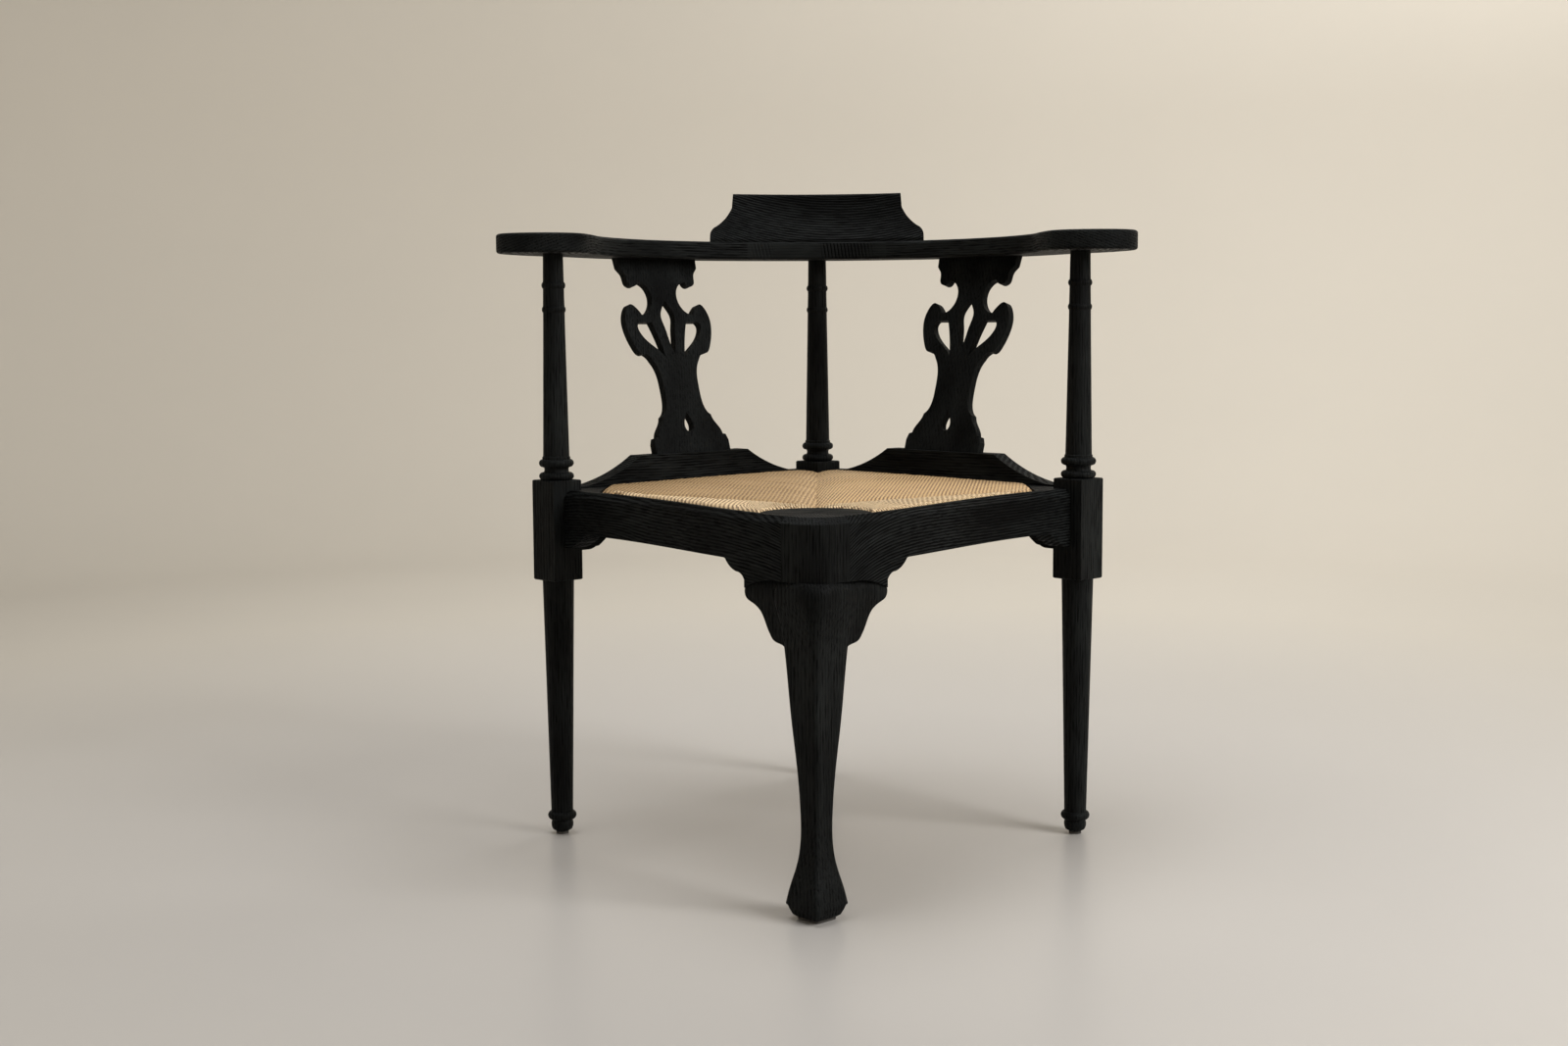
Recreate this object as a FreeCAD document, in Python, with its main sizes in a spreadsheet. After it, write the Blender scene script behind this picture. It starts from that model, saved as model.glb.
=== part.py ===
import FreeCAD, Part
import Sketcher
import math
import os
import re

from FreeCAD import Placement, Rotation, Vector

# Corner chair: three turned legs that run from floor to arm, a cabriole leg at the front corner,
# serpentine front rails, pierced splats, a bowed arm with a crest, and a drop-in rush seat.
# Millimetres. The side legs stand on the X axis, the front corner points to -Y, +Z is up.

doc = FreeCAD.newDocument("corner_chair")
sheet = doc.addObject("Spreadsheet::Sheet", "sizes")

SIZES = [
    # plan of the seat
    ("leg_spacing", 630),          # between the axes of the two side legs
    ("seam_reach", 343),           # from the side legs' line forward to the corner post's seams
    ("post_half", 36),             # half the corner post's width across its two seams
    # turned legs
    ("block_side", 42),
    ("block_low", 315),            # underside of the square blocks
    ("block_high", 436.5),         # top of the square blocks
    ("block_bevel", 1.2),
    ("leg_top_radius", 19),
    ("leg_low_radius", 13.3),
    ("foot_radius", 12.6),
    ("foot_pad_radius", 7.5),
    ("foot_ring_radius", 17.4),
    ("foot_ring_level", 22.7),
    ("column_low_radius", 15.9),
    ("column_high_radius", 12),
    ("base_ring_radius", 21),
        ("neck_radius", 14.6),
    ("upper_ring_level", 670),
    ("lower_ring_level", 641.2),
    ("thin_ring_radius", 14.3),
    ("thin_ring_half", 3.6),
    ("top_tenon_radius", 8),
    ("top_tenon_length", 16),
    # rails
    ("rail_top", 424),
    ("rail_height", 51),
    ("rail_thick", 24),
    ("front_rail_setback", 16),    # outer face of a front rail behind the block's outer face
    ("rail_edge_bevel", 7),
    ("apron_drop", 17),            # how far a front rail hangs lower at the corner post
    ("bracket_drop", 25),          # shaped ends of the back rails
    ("bracket_length", 64),
    ("front_bracket_drop", 17.5),  # shaped ends of the front rails at the side legs
    ("front_bracket_length", 34),
    ("tenon_thick", 9),
    ("tenon_length", 16),
    ("tenon_height", 22),
    ("tenon_low", 377),            # underside of the rail tenons
    ("joint_clearance", 0.1),
    # arms
    ("arm_low", 707.5),            # underside of the arm
    ("arm_thick", 23),
    ("arm_edge_round", 3.5),
    ("arm_inner_radius", 268),
    ("arm_width", 72),
    ("arm_end_reach", 62),         # how far the arm ends pass the side legs' line
    ("arm_end_half_width", 56),
    ("arm_end_centre", 325),       # middle of the arm end from the chair's centre plane
    ("arm_joint_angle", 20),       # half the angle that the middle piece of the arm spans
    ("arm_tenon_length", 24),
    ("arm_tenon_width", 34),
    # crest
    ("crest_height", 64),
    ("crest_base_half", 140),
    ("crest_top_half", 111),
    ("crest_base_thick", 34),
    ("crest_top_thick", 17),
    ("crest_face_inset", 3),       # crest face behind the arm's inner edge
    ("crest_screw_turn", 14),      # degrees from the centre plane to each crest screw
    # splats and shoes
    ("splat_lean", 16),            # degrees outwards
    ("splat_shift", 2.5),          # splats stand this much nearer to the rear leg
    ("splat_half_width", 72),
    ("splat_thick", 10),
    ("splat_tenon_width", 84),
    ("splat_tenon_length", 11),
    ("splat_tenon_thick", 7),
    ("shoe_height", 35),
    ("shoe_thick", 22),
    ("shoe_flat_half", 91),
    ("shoe_ramp_length", 86),
    ("shoe_end_height", 2),        # the shoe runs on to the blocks as a thin fillet
    # drop-in seat
    ("rail_rim", 13),              # width of the rail top that shows beside the seat
    ("rebate_depth", 22),
    ("seat_clearance", 1),
    ("seat_rise", 7),              # middle of the rush above the rails' top
    ("seat_tip", 258),             # where the seat's side corners are cut off
    ("notch_radius", 60),          # hollow of the seat round the front post
    ("slat_width", 36),
    ("slat_thick", 14),
    ("rush_wall", 5),
    ("rush_edge", 7),              # roll of the rush over its edge
    ("crown_radius", 7000),
    ("seam_half_width", 24),       # the dip between the two back panels of the rush
    ("seam_depth", 4.5),
    ("strip_half_width", 8),       # the dip between a back panel and a front strip
    ("strip_depth", 2),
    ("soft_clearance", 0.3),
    # corner blocks, cleats, screws and glides
    ("corner_block_thick", 40),
    ("rear_block_thick", 28),
    ("rear_block_reach", 75),
    ("cleat_side", 12),
    ("cleat_start", 138),          # from the rail's middle towards the side leg
    ("cleat_length", 250),
    ("cleat_screw_step", 100),
    ("screw_radius", 2),
    ("screw_head_radius", 4),
    ("screw_head_sunk", 3),
    ("screw_head_thick", 2),
    ("cleat_screw_length", 20),
    ("crest_screw_length", 32),
    ("crest_screw_sunk", 6),
    ("glide_thick", 3),
    # cabriole leg
    ("knee_top", 356),
    ("knee_half", 43),
    ("ankle_half", 17),
    ("toe_half", 32.8),
    ("toe_step", 9),               # middle of the foot in front of the post's seams
    ("front_pad_radius", 20),
    ("bracket_thick", 32),
    ("bracket_reach", 61),       # from the post's seam along the rail
    ("bracket_height", 86),
]
for row, (alias, value) in enumerate(SIZES, start=1):
    sheet.set(f"A{row}", str(value))
    sheet.setAlias(f"A{row}", alias)
doc.recompute()
NAMES = {alias for alias, value in SIZES}


def size(alias):
    return float(sheet.get(alias))


# Sizes written as text are worked out by the sheet and bound to the features that use them.

def worth(text):
    return float(sheet.evalExpression(text))


def bound(text):
    return re.sub(r"[a-z]\w*", lambda word: ("sizes." if word[0] in NAMES else "") + word[0], text)


def bind(obj, **values):
    for prop, text in values.items():
        obj.setExpression(prop.replace("_at_", "."), bound(text))


def stand(obj, x, y, z, turn=None):
    """Places an object at three written sizes."""
    obj.Placement = Placement(Vector(worth(x), worth(y), worth(z)), turn if turn else Rotation())
    for axis, text in (("x", x), ("y", y), ("z", z)):
        obj.setExpression("Placement.Base." + axis, bound(text))
    return obj


def start_body(node):
    body = doc.addObject("PartDesign::Body", "body_" + node)
    return body


def origin_part(body, role):
    return [feature for feature in body.Origin.OriginFeatures if feature.Role == role][0]


def add_box(body, kind, spans, x, y, z):
    box = body.newObject(f"PartDesign::{kind}Box", kind.lower() + "_box")
    bind(box, Length=spans[0], Width=spans[1], Height=spans[2])
    return stand(box, x, y, z)


def add_rod(body, kind, radius, length, x, y, z, turn=None):
    rod = body.newObject(f"PartDesign::{kind}Cylinder", kind.lower() + "_rod")
    bind(rod, Radius=radius, Height=length)
    return stand(rod, x, y, z, turn)


def draw_loop(sketch, points):
    """Closed outline of written sizes: (x, y) ends a line, (x, y, through x, through y) an arc."""
    first = sketch.GeometryCount
    spots = [Vector(worth(point[0]), worth(point[1]), 0) for point in points]
    strokes = []
    ends = []
    for index, point in enumerate(points):
        start, end = spots[index - 1], spots[index]
        flipped = False
        if len(point) == 4:
            through = Vector(worth(point[2]), worth(point[3]), 0)
            flipped = (through - start).cross(end - through).z < 0
            strokes.append(Part.Arc(end, through, start) if flipped else Part.Arc(start, through, end))
        else:
            strokes.append(Part.LineSegment(start, end))
        ends.append((2, 1) if flipped else (1, 2))
    sketch.addGeometry(strokes, False)
    ties = []
    texts = []

    def fix(geometry, vertex, x, y):
        for kind, text in (("DistanceX", x), ("DistanceY", y)):
            ties.append(Sketcher.Constraint(kind, -1, 1, geometry, vertex, worth(text)))
            texts.append(text)

    for index, point in enumerate(points):
        after = (index + 1) % len(points)
        ties.append(Sketcher.Constraint("Coincident", first + index, ends[index][1],
                                        first + after, ends[after][0]))
        texts.append(None)
        fix(first + index, ends[index][1], point[0], point[1])
        if len(point) == 4:
            mark = sketch.addGeometry(Part.Point(Vector(worth(point[2]), worth(point[3]), 0)), True)
            ties.append(Sketcher.Constraint("PointOnObject", mark, 1, first + index))
            texts.append(None)
            fix(mark, 1, point[2], point[3])
    numbers = sketch.addConstraint(ties)
    for number, text in zip(numbers, texts):
        if text:
            sketch.setExpression(f"Constraints[{number}]", bound(text))


def add_sketch(body, plane, *loops):
    sketch = body.newObject("Sketcher::SketchObject", "outline")
    sketch.AttachmentSupport = [(origin_part(body, plane), "")]
    sketch.MapMode = "FlatFace"
    for points in loops:
        draw_loop(sketch, points)
    return sketch


def add_pad(body, plane, length, *loops):
    """Pads an outline to both sides of its plane."""
    pad = body.newObject("PartDesign::Pad", "pad")
    pad.Profile = add_sketch(body, plane, *loops)
    pad.Midplane = True
    bind(pad, Length=length)
    return pad


def add_pocket(body, plane, length, *loops):
    pocket = body.newObject("PartDesign::Pocket", "pocket")
    pocket.Profile = add_sketch(body, plane, *loops)
    pocket.Midplane = True
    bind(pocket, Length=length)
    return pocket


def add_turning(body, plane, angle, points):
    turning = body.newObject("PartDesign::Revolution", "turning")
    turning.Profile = add_sketch(body, plane, points)
    turning.ReferenceAxis = (origin_part(body, "Z_Axis"), [""])
    turning.Angle = angle
    turning.Midplane = True
    return turning


half_spacing = size("leg_spacing") / 2
block_half = size("block_side") / 2
block_corner = block_half * math.sqrt(2)
rail_low = size("rail_top") - size("rail_height")
arm_top = size("arm_low") + size("arm_thick")
arm_outer_radius = size("arm_inner_radius") + size("arm_width")
shoe_top = size("rail_top") + size("shoe_height")
post_radius = size("post_half") * math.sqrt(2)
floor_gap = size("glide_thick")
foot_centre = size("seam_reach") + size("toe_step")

# The frame's origin is the middle of the chair's plan, on the floor.
SHIFT = "((seam_reach + toe_step + toe_half - leg_spacing / 2 - block_side * sqrt(0.5)) / 2)"
frame_shift = worth(SHIFT)
chair_place = Placement(Vector(0, frame_shift, 0), Rotation())

pieces = {}


def keep(node, obj):
    obj.Label = node
    pieces[node] = obj
    return obj


def solid_piece(node, shape, place=chair_place):
    obj = doc.addObject("Part::Feature", "shape_" + node)
    obj.Shape = shape
    obj.Placement = place
    return keep(node, obj)


def mirrored_piece(node, source):
    obj = doc.addObject("Part::Mirroring", "mirror_" + node)
    obj.Source = source
    obj.Normal = Vector(1, 0, 0)
    obj.Base = Vector(0, 0, 0)
    doc.recompute()
    return keep(node, obj)


def prism(points, height, direction):
    wire = Part.makePolygon(points + [points[0]])
    return Part.Face(wire).extrude(direction * height)


def slab(low, high, reach=600):
    return Part.makeBox(2 * reach, 2 * reach, high - low, Vector(-reach, -reach, low))


def arc_through(start, middle, end):
    return Part.Arc(Vector(*start), Vector(*middle), Vector(*end)).toShape()


# Turned legs: one profile from the floor pad to the tenon in the arm, with a square block
# left where the rails enter.

def turned_outline():
    column = "(column_low_radius + (column_high_radius - column_low_radius) * ({} - block_high)"
    column += " / (arm_low - block_high))"
    top = "arm_low + top_tenon_length"
    base = "block_high"
    points = [
        ("0", "glide_thick"),
        ("foot_pad_radius", "glide_thick"),
        ("foot_radius - 1", "glide_thick + 2.5"),
        ("foot_radius - 0.4", "foot_ring_level - 5", "foot_radius + 0.8", "foot_ring_level - 12"),
        ("leg_low_radius", "foot_ring_level + 5.5", "foot_ring_radius", "foot_ring_level"),
        ("leg_top_radius", "block_low"),
        ("leg_top_radius", base),
        ("neck_radius + 2", base),
        ("neck_radius + 1", base + " + 9", "base_ring_radius", base + " + 4"),
        ("neck_radius + 1", base + " + 15.5", "neck_radius", base + " + 12.2"),
        ("column_low_radius + 1", base + " + 25", "base_ring_radius", base + " + 20.2"),
        ("column_low_radius + 1", base + " + 27.5"),
        ("column_low_radius", base + " + 28.5"),
    ]
    for level in ("lower_ring_level", "upper_ring_level"):
        low = level + " - thin_ring_half"
        high = level + " + thin_ring_half"
        points += [
            (column.format(level), low),
            ("thin_ring_radius - 1.2", low),
            ("thin_ring_radius - 1.2", high, "thin_ring_radius", level),
            (column.format(level), high),
        ]
    return points + [("column_high_radius", "arm_low"), ("top_tenon_radius", "arm_low"),
                     ("top_tenon_radius", top), ("0", top)]


def turned_leg(node, x, y, turn, mortises):
    """Local axes are square to the block; a mortise is (face axis, face side, offset across)."""
    body = start_body(node)
    add_box(body, "Additive", ("block_side", "block_side", "block_high - block_low"),
            "-block_side / 2", "-block_side / 2", "block_low")
    doc.recompute()
    block = body.Tip
    bevel = body.newObject("PartDesign::Chamfer", "bevel")
    level_edges = [f"Edge{number}" for number, edge in enumerate(block.Shape.Edges, start=1)
                   if edge.BoundBox.ZLength < 0.01]
    bevel.Base = (block, level_edges)
    bind(bevel, Size="block_bevel")
    add_turning(body, "XZ_Plane", 360, turned_outline())
    deep = "tenon_length + 2 * joint_clearance"
    wide = "tenon_thick + 2 * joint_clearance"
    tall = "tenon_height + 2 * joint_clearance"
    for axis, facing, offset in mortises:
        start = "block_side / 2 - tenon_length - 2 * joint_clearance" if facing > 0 else "-block_side / 2"
        across = f"{offset} - tenon_thick / 2 - joint_clearance"
        corner = (start, across) if axis == "x" else (across, start)
        spans = (deep, wide, tall) if axis == "x" else (wide, deep, tall)
        add_box(body, "Subtractive", spans, corner[0], corner[1], "tenon_low - joint_clearance")
    stand(body, x, f"{y} + {SHIFT}", "0", Rotation(Vector(0, 0, 1), turn))
    return keep(node, body)


# Offsets of the rail tenons from the block's middle, measured towards the chair's outside.
FRONT_TENON_OUT = "(block_side / 2 - front_rail_setback - rail_thick / 2)"
BACK_TENON_OUT = "((block_side - rail_thick) / 2)"
back_tenon_out = worth(BACK_TENON_OUT)

turned_leg("right_leg", "leg_spacing / 2", "0", 45,
           [("x", -1, "-1 * " + FRONT_TENON_OUT), ("y", 1, BACK_TENON_OUT)])
turned_leg("left_leg", "-leg_spacing / 2", "0", -45,
           [("x", 1, "-1 * " + FRONT_TENON_OUT), ("y", 1, "-1 * " + BACK_TENON_OUT)])
turned_leg("rear_leg", "0", "leg_spacing / 2", 45,
           [("x", -1, BACK_TENON_OUT), ("y", -1, BACK_TENON_OUT)])
doc.recompute()

# Front rails: the plan is a long S, hollow beside the block and full towards the corner post.
# "depth" is measured inwards from the rail's outer face.

def rail_block_end(depth):
    along = (size("front_rail_setback") + depth) / math.sqrt(2)
    return Vector(half_spacing - along, along - block_corner, 0)


def rail_post_end(depth):
    step = depth / math.sqrt(2)
    return Vector(size("post_half") - step, step - size("seam_reach"), 0)


def rail_sweep(depth):
    """Plan curve of the right front rail at a depth from its face."""
    start = rail_block_end(depth)
    end = rail_post_end(depth)
    span = (end - start).Length
    leave = Vector(-math.cos(math.radians(38)), -math.sin(math.radians(38)), 0)
    arrive = Vector(math.sqrt(0.5), math.sqrt(0.5), 0)
    bezier = Part.BezierCurve()
    bezier.setPoles([start, start + leave * span * 0.35, end + arrive * span * 0.33, end])
    return bezier


def rail_plan(depth_out, depth_in, low, high):
    outer = rail_sweep(depth_out)
    inner = rail_sweep(depth_in)
    edges = [outer.toShape(), Part.makeLine(outer.EndPoint, inner.EndPoint),
             inner.toShape(), Part.makeLine(inner.StartPoint, outer.StartPoint)]
    face = Part.Face(Part.Wire(Part.__sortEdges__(edges)))
    face.translate(Vector(0, 0, low))
    return face.extrude(Vector(0, 0, high - low))


chord_start = rail_post_end(0)
chord = (rail_block_end(0) - chord_start).normalize()
chord_normal = Vector(chord.y, -chord.x, 0)


def chord_point(along, level):
    return chord_start + chord * along + Vector(0, 0, level)


def apron_elevation():
    """Side view of the front rail, sawn across: apron at the post, small ogee at the block."""
    length = (rail_block_end(0) - chord_start).Length
    low = rail_low - size("apron_drop")
    drop = size("front_bracket_drop")
    reach = size("front_bracket_length")
    high = size("rail_top") + 1
    end = length + 40

    def flat(*points):
        return [Part.makeLine(chord_point(*a), chord_point(*b)) for a, b in zip(points, points[1:])]

    edges = flat((-40, high), (-40, low), (10, low))
    edges.append(arc_through(chord_point(10, low), chord_point(38, low - 3.5), chord_point(60.5, low - 12)))
    edges += flat((60.5, low - 12), (60.5, low - 3.5))
    edges.append(arc_through(chord_point(60.5, low - 3.5), chord_point(64, low + 0.8),
                             chord_point(74, low + 4)))
    edges.append(arc_through(chord_point(74, low + 4), chord_point(86, low + 8.2),
                             chord_point(95.5, rail_low - 0.8)))
    edges += flat((95.5, rail_low - 0.8), (98, rail_low), (length - reach, rail_low))

    def bracket(along, down):
        return chord_point(length - reach * along, rail_low - drop * down)

    edges.append(arc_through(bracket(1, 0), bracket(0.86, 0.33), bracket(0.735, 0.54)))
    edges.append(Part.makeLine(bracket(0.735, 0.54), bracket(0.55, 0.64)))
    edges.append(arc_through(bracket(0.55, 0.64), bracket(0.36, 0.91), bracket(0.2, 1)))
    edges.append(Part.makeLine(bracket(0.2, 1), chord_point(end, rail_low - drop)))
    edges += flat((end, rail_low - drop), (end, high), (-40, high))
    face = Part.Face(Part.Wire(edges))
    face.translate(chord_normal * -150)
    return face.extrude(chord_normal * 300)


def bevel_outer_edge(shape, amount):
    """Bevels the long top edge of the outer face."""
    top = size("rail_top")
    outer = rail_sweep(0)
    chosen = []
    for edge in shape.Edges:
        middle = edge.valueAt((edge.FirstParameter + edge.LastParameter) / 2)
        flat = Vector(middle.x, middle.y, 0)
        level = abs(edge.BoundBox.ZMin - top) < 0.01 and abs(edge.BoundBox.ZMax - top) < 0.01
        if level and outer.toShape().distToShape(Part.Vertex(flat))[0] < 0.05 and edge.Length > 60:
            chosen.append(edge)
    return shape.makeChamfer(amount, chosen)


def tenon_box(length_before, length_after, place_at, toward, thick, low, tall):
    """Upright tenon: 'toward' is its direction, 'place_at' the shoulder's middle in plan."""
    across = Vector(-toward.y, toward.x, 0)
    start = place_at - toward * length_before
    corners = [start - across * thick / 2, start + across * thick / 2,
               start + across * thick / 2 + toward * (length_before + length_after),
               start - across * thick / 2 + toward * (length_before + length_after)]
    lifted = [Vector(point.x, point.y, low) for point in corners]
    return prism(lifted, tall, Vector(0, 0, 1))


to_post = Vector(-math.sqrt(0.5), -math.sqrt(0.5), 0)
to_block = Vector(math.sqrt(0.5), math.sqrt(0.5), 0)
tenon_depth_mid = size("rail_thick") / 2


def front_rail():
    full = rail_plan(0, size("rail_thick"), rail_low - size("apron_drop") - 14, size("rail_top"))
    shape = full.common(apron_elevation())
    shape = bevel_outer_edge(shape, size("rail_edge_bevel"))
    rebate = rail_plan(size("rail_rim"), size("rail_thick") + 8,
                       size("rail_top") - size("rebate_depth"), size("rail_top") + 5)
    shape = shape.cut(rebate)
    for place_at, toward in ((rail_block_end(tenon_depth_mid), to_block),
                             (rail_post_end(tenon_depth_mid), to_post)):
        shape = shape.fuse(tenon_box(6, size("tenon_length"), place_at, toward,
                                     size("tenon_thick"), size("tenon_low"), size("tenon_height")))
    return shape.removeSplitter()


solid_piece("front_rail_right", front_rail())
mirrored_piece("front_rail_left", pieces["front_rail_right"])


# Cabriole front leg: square post between the rails, knee, ankle and a foot with three toes.
# Its sections are squares set cornerwise, so an arris runs down the front.

def cornerwise_square(level, half, middle, front_round):
    side_round = 0.28 * half
    tip = math.sqrt(2) - 1
    front = half + front_round * tip
    side = half + side_round * tip
    corners = [(0, -front, front_round), (side, 0, side_round), (0, side, side_round),
               (-side, 0, side_round)]
    edges = []
    joints = []
    for index, (x, y, radius) in enumerate(corners):
        here = Vector(x, y + middle, level)
        before = Vector(corners[index - 1][0], corners[index - 1][1] + middle, level)
        after = corners[(index + 1) % 4]
        beyond = Vector(after[0], after[1] + middle, level)
        back = (before - here).normalize()
        ahead = (beyond - here).normalize()
        turn = back.getAngle(ahead)
        cut = radius / math.tan(turn / 2)
        bisector = (back + ahead).normalize()
        bulge = here + bisector * (radius / math.sin(turn / 2) - radius)
        joints.append((here + back * cut, bulge, here + ahead * cut))
    for index, (start, bulge, end) in enumerate(joints):
        edges.append(Part.Arc(start, bulge, end).toShape())
        edges.append(Part.makeLine(end, joints[(index + 1) % 4][0]))
    return Part.Wire(edges)


ankle = size("ankle_half")
toe = size("toe_half")
knee = size("knee_half")
toe_level = floor_gap + 14
knee_level = size("knee_top")
LEG_SECTIONS = [
    # level, half width, distance in front of the side legs' line, roundness of the front arris
    (toe_level, toe, foot_centre, 5),
    (toe_level + 13, toe - 3.2, foot_centre - 0.5, 5),
    (toe_level + 26, toe - 7.4, foot_centre - 2, 5),
    (55, ankle + 4.4, foot_centre - 4.5, 5),
    (81, ankle, foot_centre - 9, 5),
    (110, ankle, foot_centre - 14, 5),
    (155, ankle + 3.4, foot_centre - 19, 5),
    (206, ankle + 9.2, foot_centre - 23, 5),
    (247, ankle + 13, foot_centre - 25, 5),
    (281, ankle + 16.2, foot_centre - 26, 6),
    (312, knee - 5, foot_centre - 25, 12),
    (knee_level - 24, knee - 0.5, foot_centre - 24, 20),
    (knee_level - 11, knee - 0.7, foot_centre - 23, 24),
    (knee_level, knee - 7, foot_centre - 22, 22),
]


def toe_tongue():
    """Middle toe: the front faces run on down to a point between the two side toes."""
    column = Part.Face(cornerwise_square(floor_gap + 2, toe, -foot_centre, 5))
    column = column.extrude(Vector(0, 0, toe_level - floor_gap - 2 + 0.5))
    front = -foot_centre - toe - 5
    high = toe_level + 0.5
    low = floor_gap + 4.5
    edges = [Part.makeLine(Vector(-toe, front, high), Vector(toe, front, high))]
    for side in (1, -1):
        edges.append(arc_through((side * toe, front, high), (side * toe * 0.62, front, high - 3.4),
                                 (side * toe * 0.3, front, high - 1)))
        edges.append(arc_through((side * toe * 0.3, front, high - 1), (side * toe * 0.15, front, low + 3.2),
                                 (0, front, low)))
    lobes = Part.Face(Part.Wire(Part.__sortEdges__(edges)))
    return column.common(lobes.extrude(Vector(0, toe + 5, 0)))


def post_plan():
    """Corner post seen from above: a roll between two shallow coves on the outside."""
    half = size("post_half")
    seam = -size("seam_reach")
    inner = seam + half
    roll = 0.56 * half
    roll_y = inner - math.sqrt(post_radius ** 2 - roll ** 2)
    cove_mid = (half + roll) / 2
    cove_y = inner - math.sqrt(post_radius ** 2 - cove_mid ** 2) + 1.6
    edges = [
        Part.makeLine(Vector(0, inner, 0), Vector(half, seam, 0)),
        arc_through((half, seam, 0), (cove_mid, cove_y, 0), (roll, roll_y, 0)),
        arc_through((roll, roll_y, 0), (0, inner - post_radius - 2, 0), (-roll, roll_y, 0)),
        arc_through((-roll, roll_y, 0), (-cove_mid, cove_y, 0), (-half, seam, 0)),
        Part.makeLine(Vector(-half, seam, 0), Vector(0, inner, 0)),
    ]
    return Part.Face(Part.Wire(edges))


def front_leg():
    wires = [cornerwise_square(level, half, -reach, front_round)
             for level, half, reach, front_round in LEG_SECTIONS]
    shape = Part.makeLoft(wires, True, False)
    under = [cornerwise_square(floor_gap, size("front_pad_radius") + 1, -foot_centre, 5),
             cornerwise_square(floor_gap + 2.4, toe - 7.2, -foot_centre, 5),
             cornerwise_square(floor_gap + 8.4, toe - 3.6, -foot_centre, 5),
             cornerwise_square(toe_level, toe - 1, -foot_centre, 5)]
    shape = shape.fuse(Part.makeLoft(under, True, True)).fuse(toe_tongue())
    post = post_plan()
    post.translate(Vector(0, 0, size("knee_top")))
    post = post.extrude(Vector(0, 0, size("rail_top") - size("knee_top")))
    top = size("rail_top")
    outer_edges = [edge for edge in post.Edges
                   if edge.BoundBox.ZMin > top - 0.01 and edge.Curve.TypeId == "Part::GeomCircle"]
    post = post.makeChamfer(size("rail_edge_bevel"), outer_edges)
    shape = shape.fuse(post)
    gap = size("joint_clearance")
    for side in (1, -1):
        place_at = rail_post_end(tenon_depth_mid)
        toward = Vector(to_post)
        if side < 0:
            place_at.x = -place_at.x
            toward.x = -toward.x
        shape = shape.cut(tenon_box(2, size("tenon_length") + gap, place_at, toward,
                                    size("tenon_thick") + 2 * gap, size("tenon_low") - gap,
                                    size("tenon_height") + 2 * gap))
    return shape.removeSplitter()


solid_piece("front_leg", front_leg())


def knee_depth(level, half, reach):
    """How far the knee's front face lies behind the rail's outer face."""
    return (size("post_half") + size("seam_reach") - reach - half) / math.sqrt(2)


def behind_knee(seam, along, inward):
    """Everything behind a face that follows the knee's swell, drawn across the bracket."""
    outer = [(level, max(knee_depth(level, half, reach) - 3.2, 0))
             for level, half, reach, front_round in LEG_SECTIONS if level > 240]
    profile = Part.BSplineCurve()
    profile.interpolate([seam + inward * depth + Vector(0, 0, level) for level, depth in outer])
    low = profile.StartPoint
    high = profile.EndPoint
    far = inward * 80
    edges = [profile.toShape(), Part.makeLine(high, high + far), Part.makeLine(high + far, low + far),
             Part.makeLine(low + far, low)]
    face = Part.Face(Part.Wire(edges))
    face.translate(along * -30)
    return face.extrude(along * 140)


def knee_bracket():
    """Shaped ear glued beside the knee under the rail's apron."""
    seam = rail_post_end(3)
    top = size("knee_top")
    along = to_block
    inward = Vector(-math.sqrt(0.5), math.sqrt(0.5), 0)

    def at(run, level):
        return seam + along * run + Vector(0, 0, level)

    def spline(*points):
        curve = Part.BSplineCurve()
        curve.interpolate([at(*point) for point in points])
        return curve.toShape()

    reach = size("bracket_reach")
    tall = size("bracket_height")
    edges = [
        Part.makeLine(at(0, top + 1), at(46, top + 1)),
        Part.makeLine(at(46, top + 1), at(reach - 0.7, top - 8)),
        Part.makeLine(at(reach - 0.7, top - 8), at(reach, top - 12.2)),
        spline((reach, top - 12.2), (reach + 0.5, top - 17), (reach - 1.3, top - 22.3),
               (reach - 10.3, top - 27.5), (reach - 21, top - 35.5), (reach - 25.8, top - 47.2),
               (reach - 31.4, top - 60.2)),
        spline((reach - 31.4, top - 60.2), (reach - 38.9, top - 67.3), (reach - 50.5, top - 70.5),
               (reach - 56.3, top - 77.7), (reach - 58, top - tall)),
        Part.makeLine(at(reach - 58, top - tall), at(0, top - tall)),
        Part.makeLine(at(0, top - tall), at(0, top + 1)),
    ]
    shape = Part.Face(Part.Wire(edges)).extrude(inward * size("bracket_thick"))
    shape = shape.common(behind_knee(seam, along, inward))
    for node in ("front_leg", "front_rail_right"):
        neighbour = pieces[node].Shape.copy()
        neighbour.Placement = Placement()
        shape = shape.cut(neighbour)
    return max(shape.Solids, key=lambda solid: solid.Volume)


solid_piece("knee_bracket_right", knee_bracket())
mirrored_piece("knee_bracket_left", pieces["knee_bracket_right"])


# Back rails, shoes and splats are drawn in the right back side's own frame: x runs along the rail
# towards the rear leg, y inwards, z up, from the middle of the line between the two leg axes.
side_turn = Rotation(Vector(0, 0, 1), 135)
side_middle = Vector(half_spacing / 2, half_spacing / 2, 0)
side_place = Placement(side_middle + Vector(0, frame_shift, 0), side_turn)
SIDE_HALF = "(leg_spacing * sqrt(0.5) / 2 - block_side / 2)"
side_half = worth(SIDE_HALF)
rail_mid_y = -back_tenon_out
rail_inner_step = size("rail_thick") - block_half
rebate_level = size("rail_top") - size("rebate_depth")
gap = size("joint_clearance")


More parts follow.
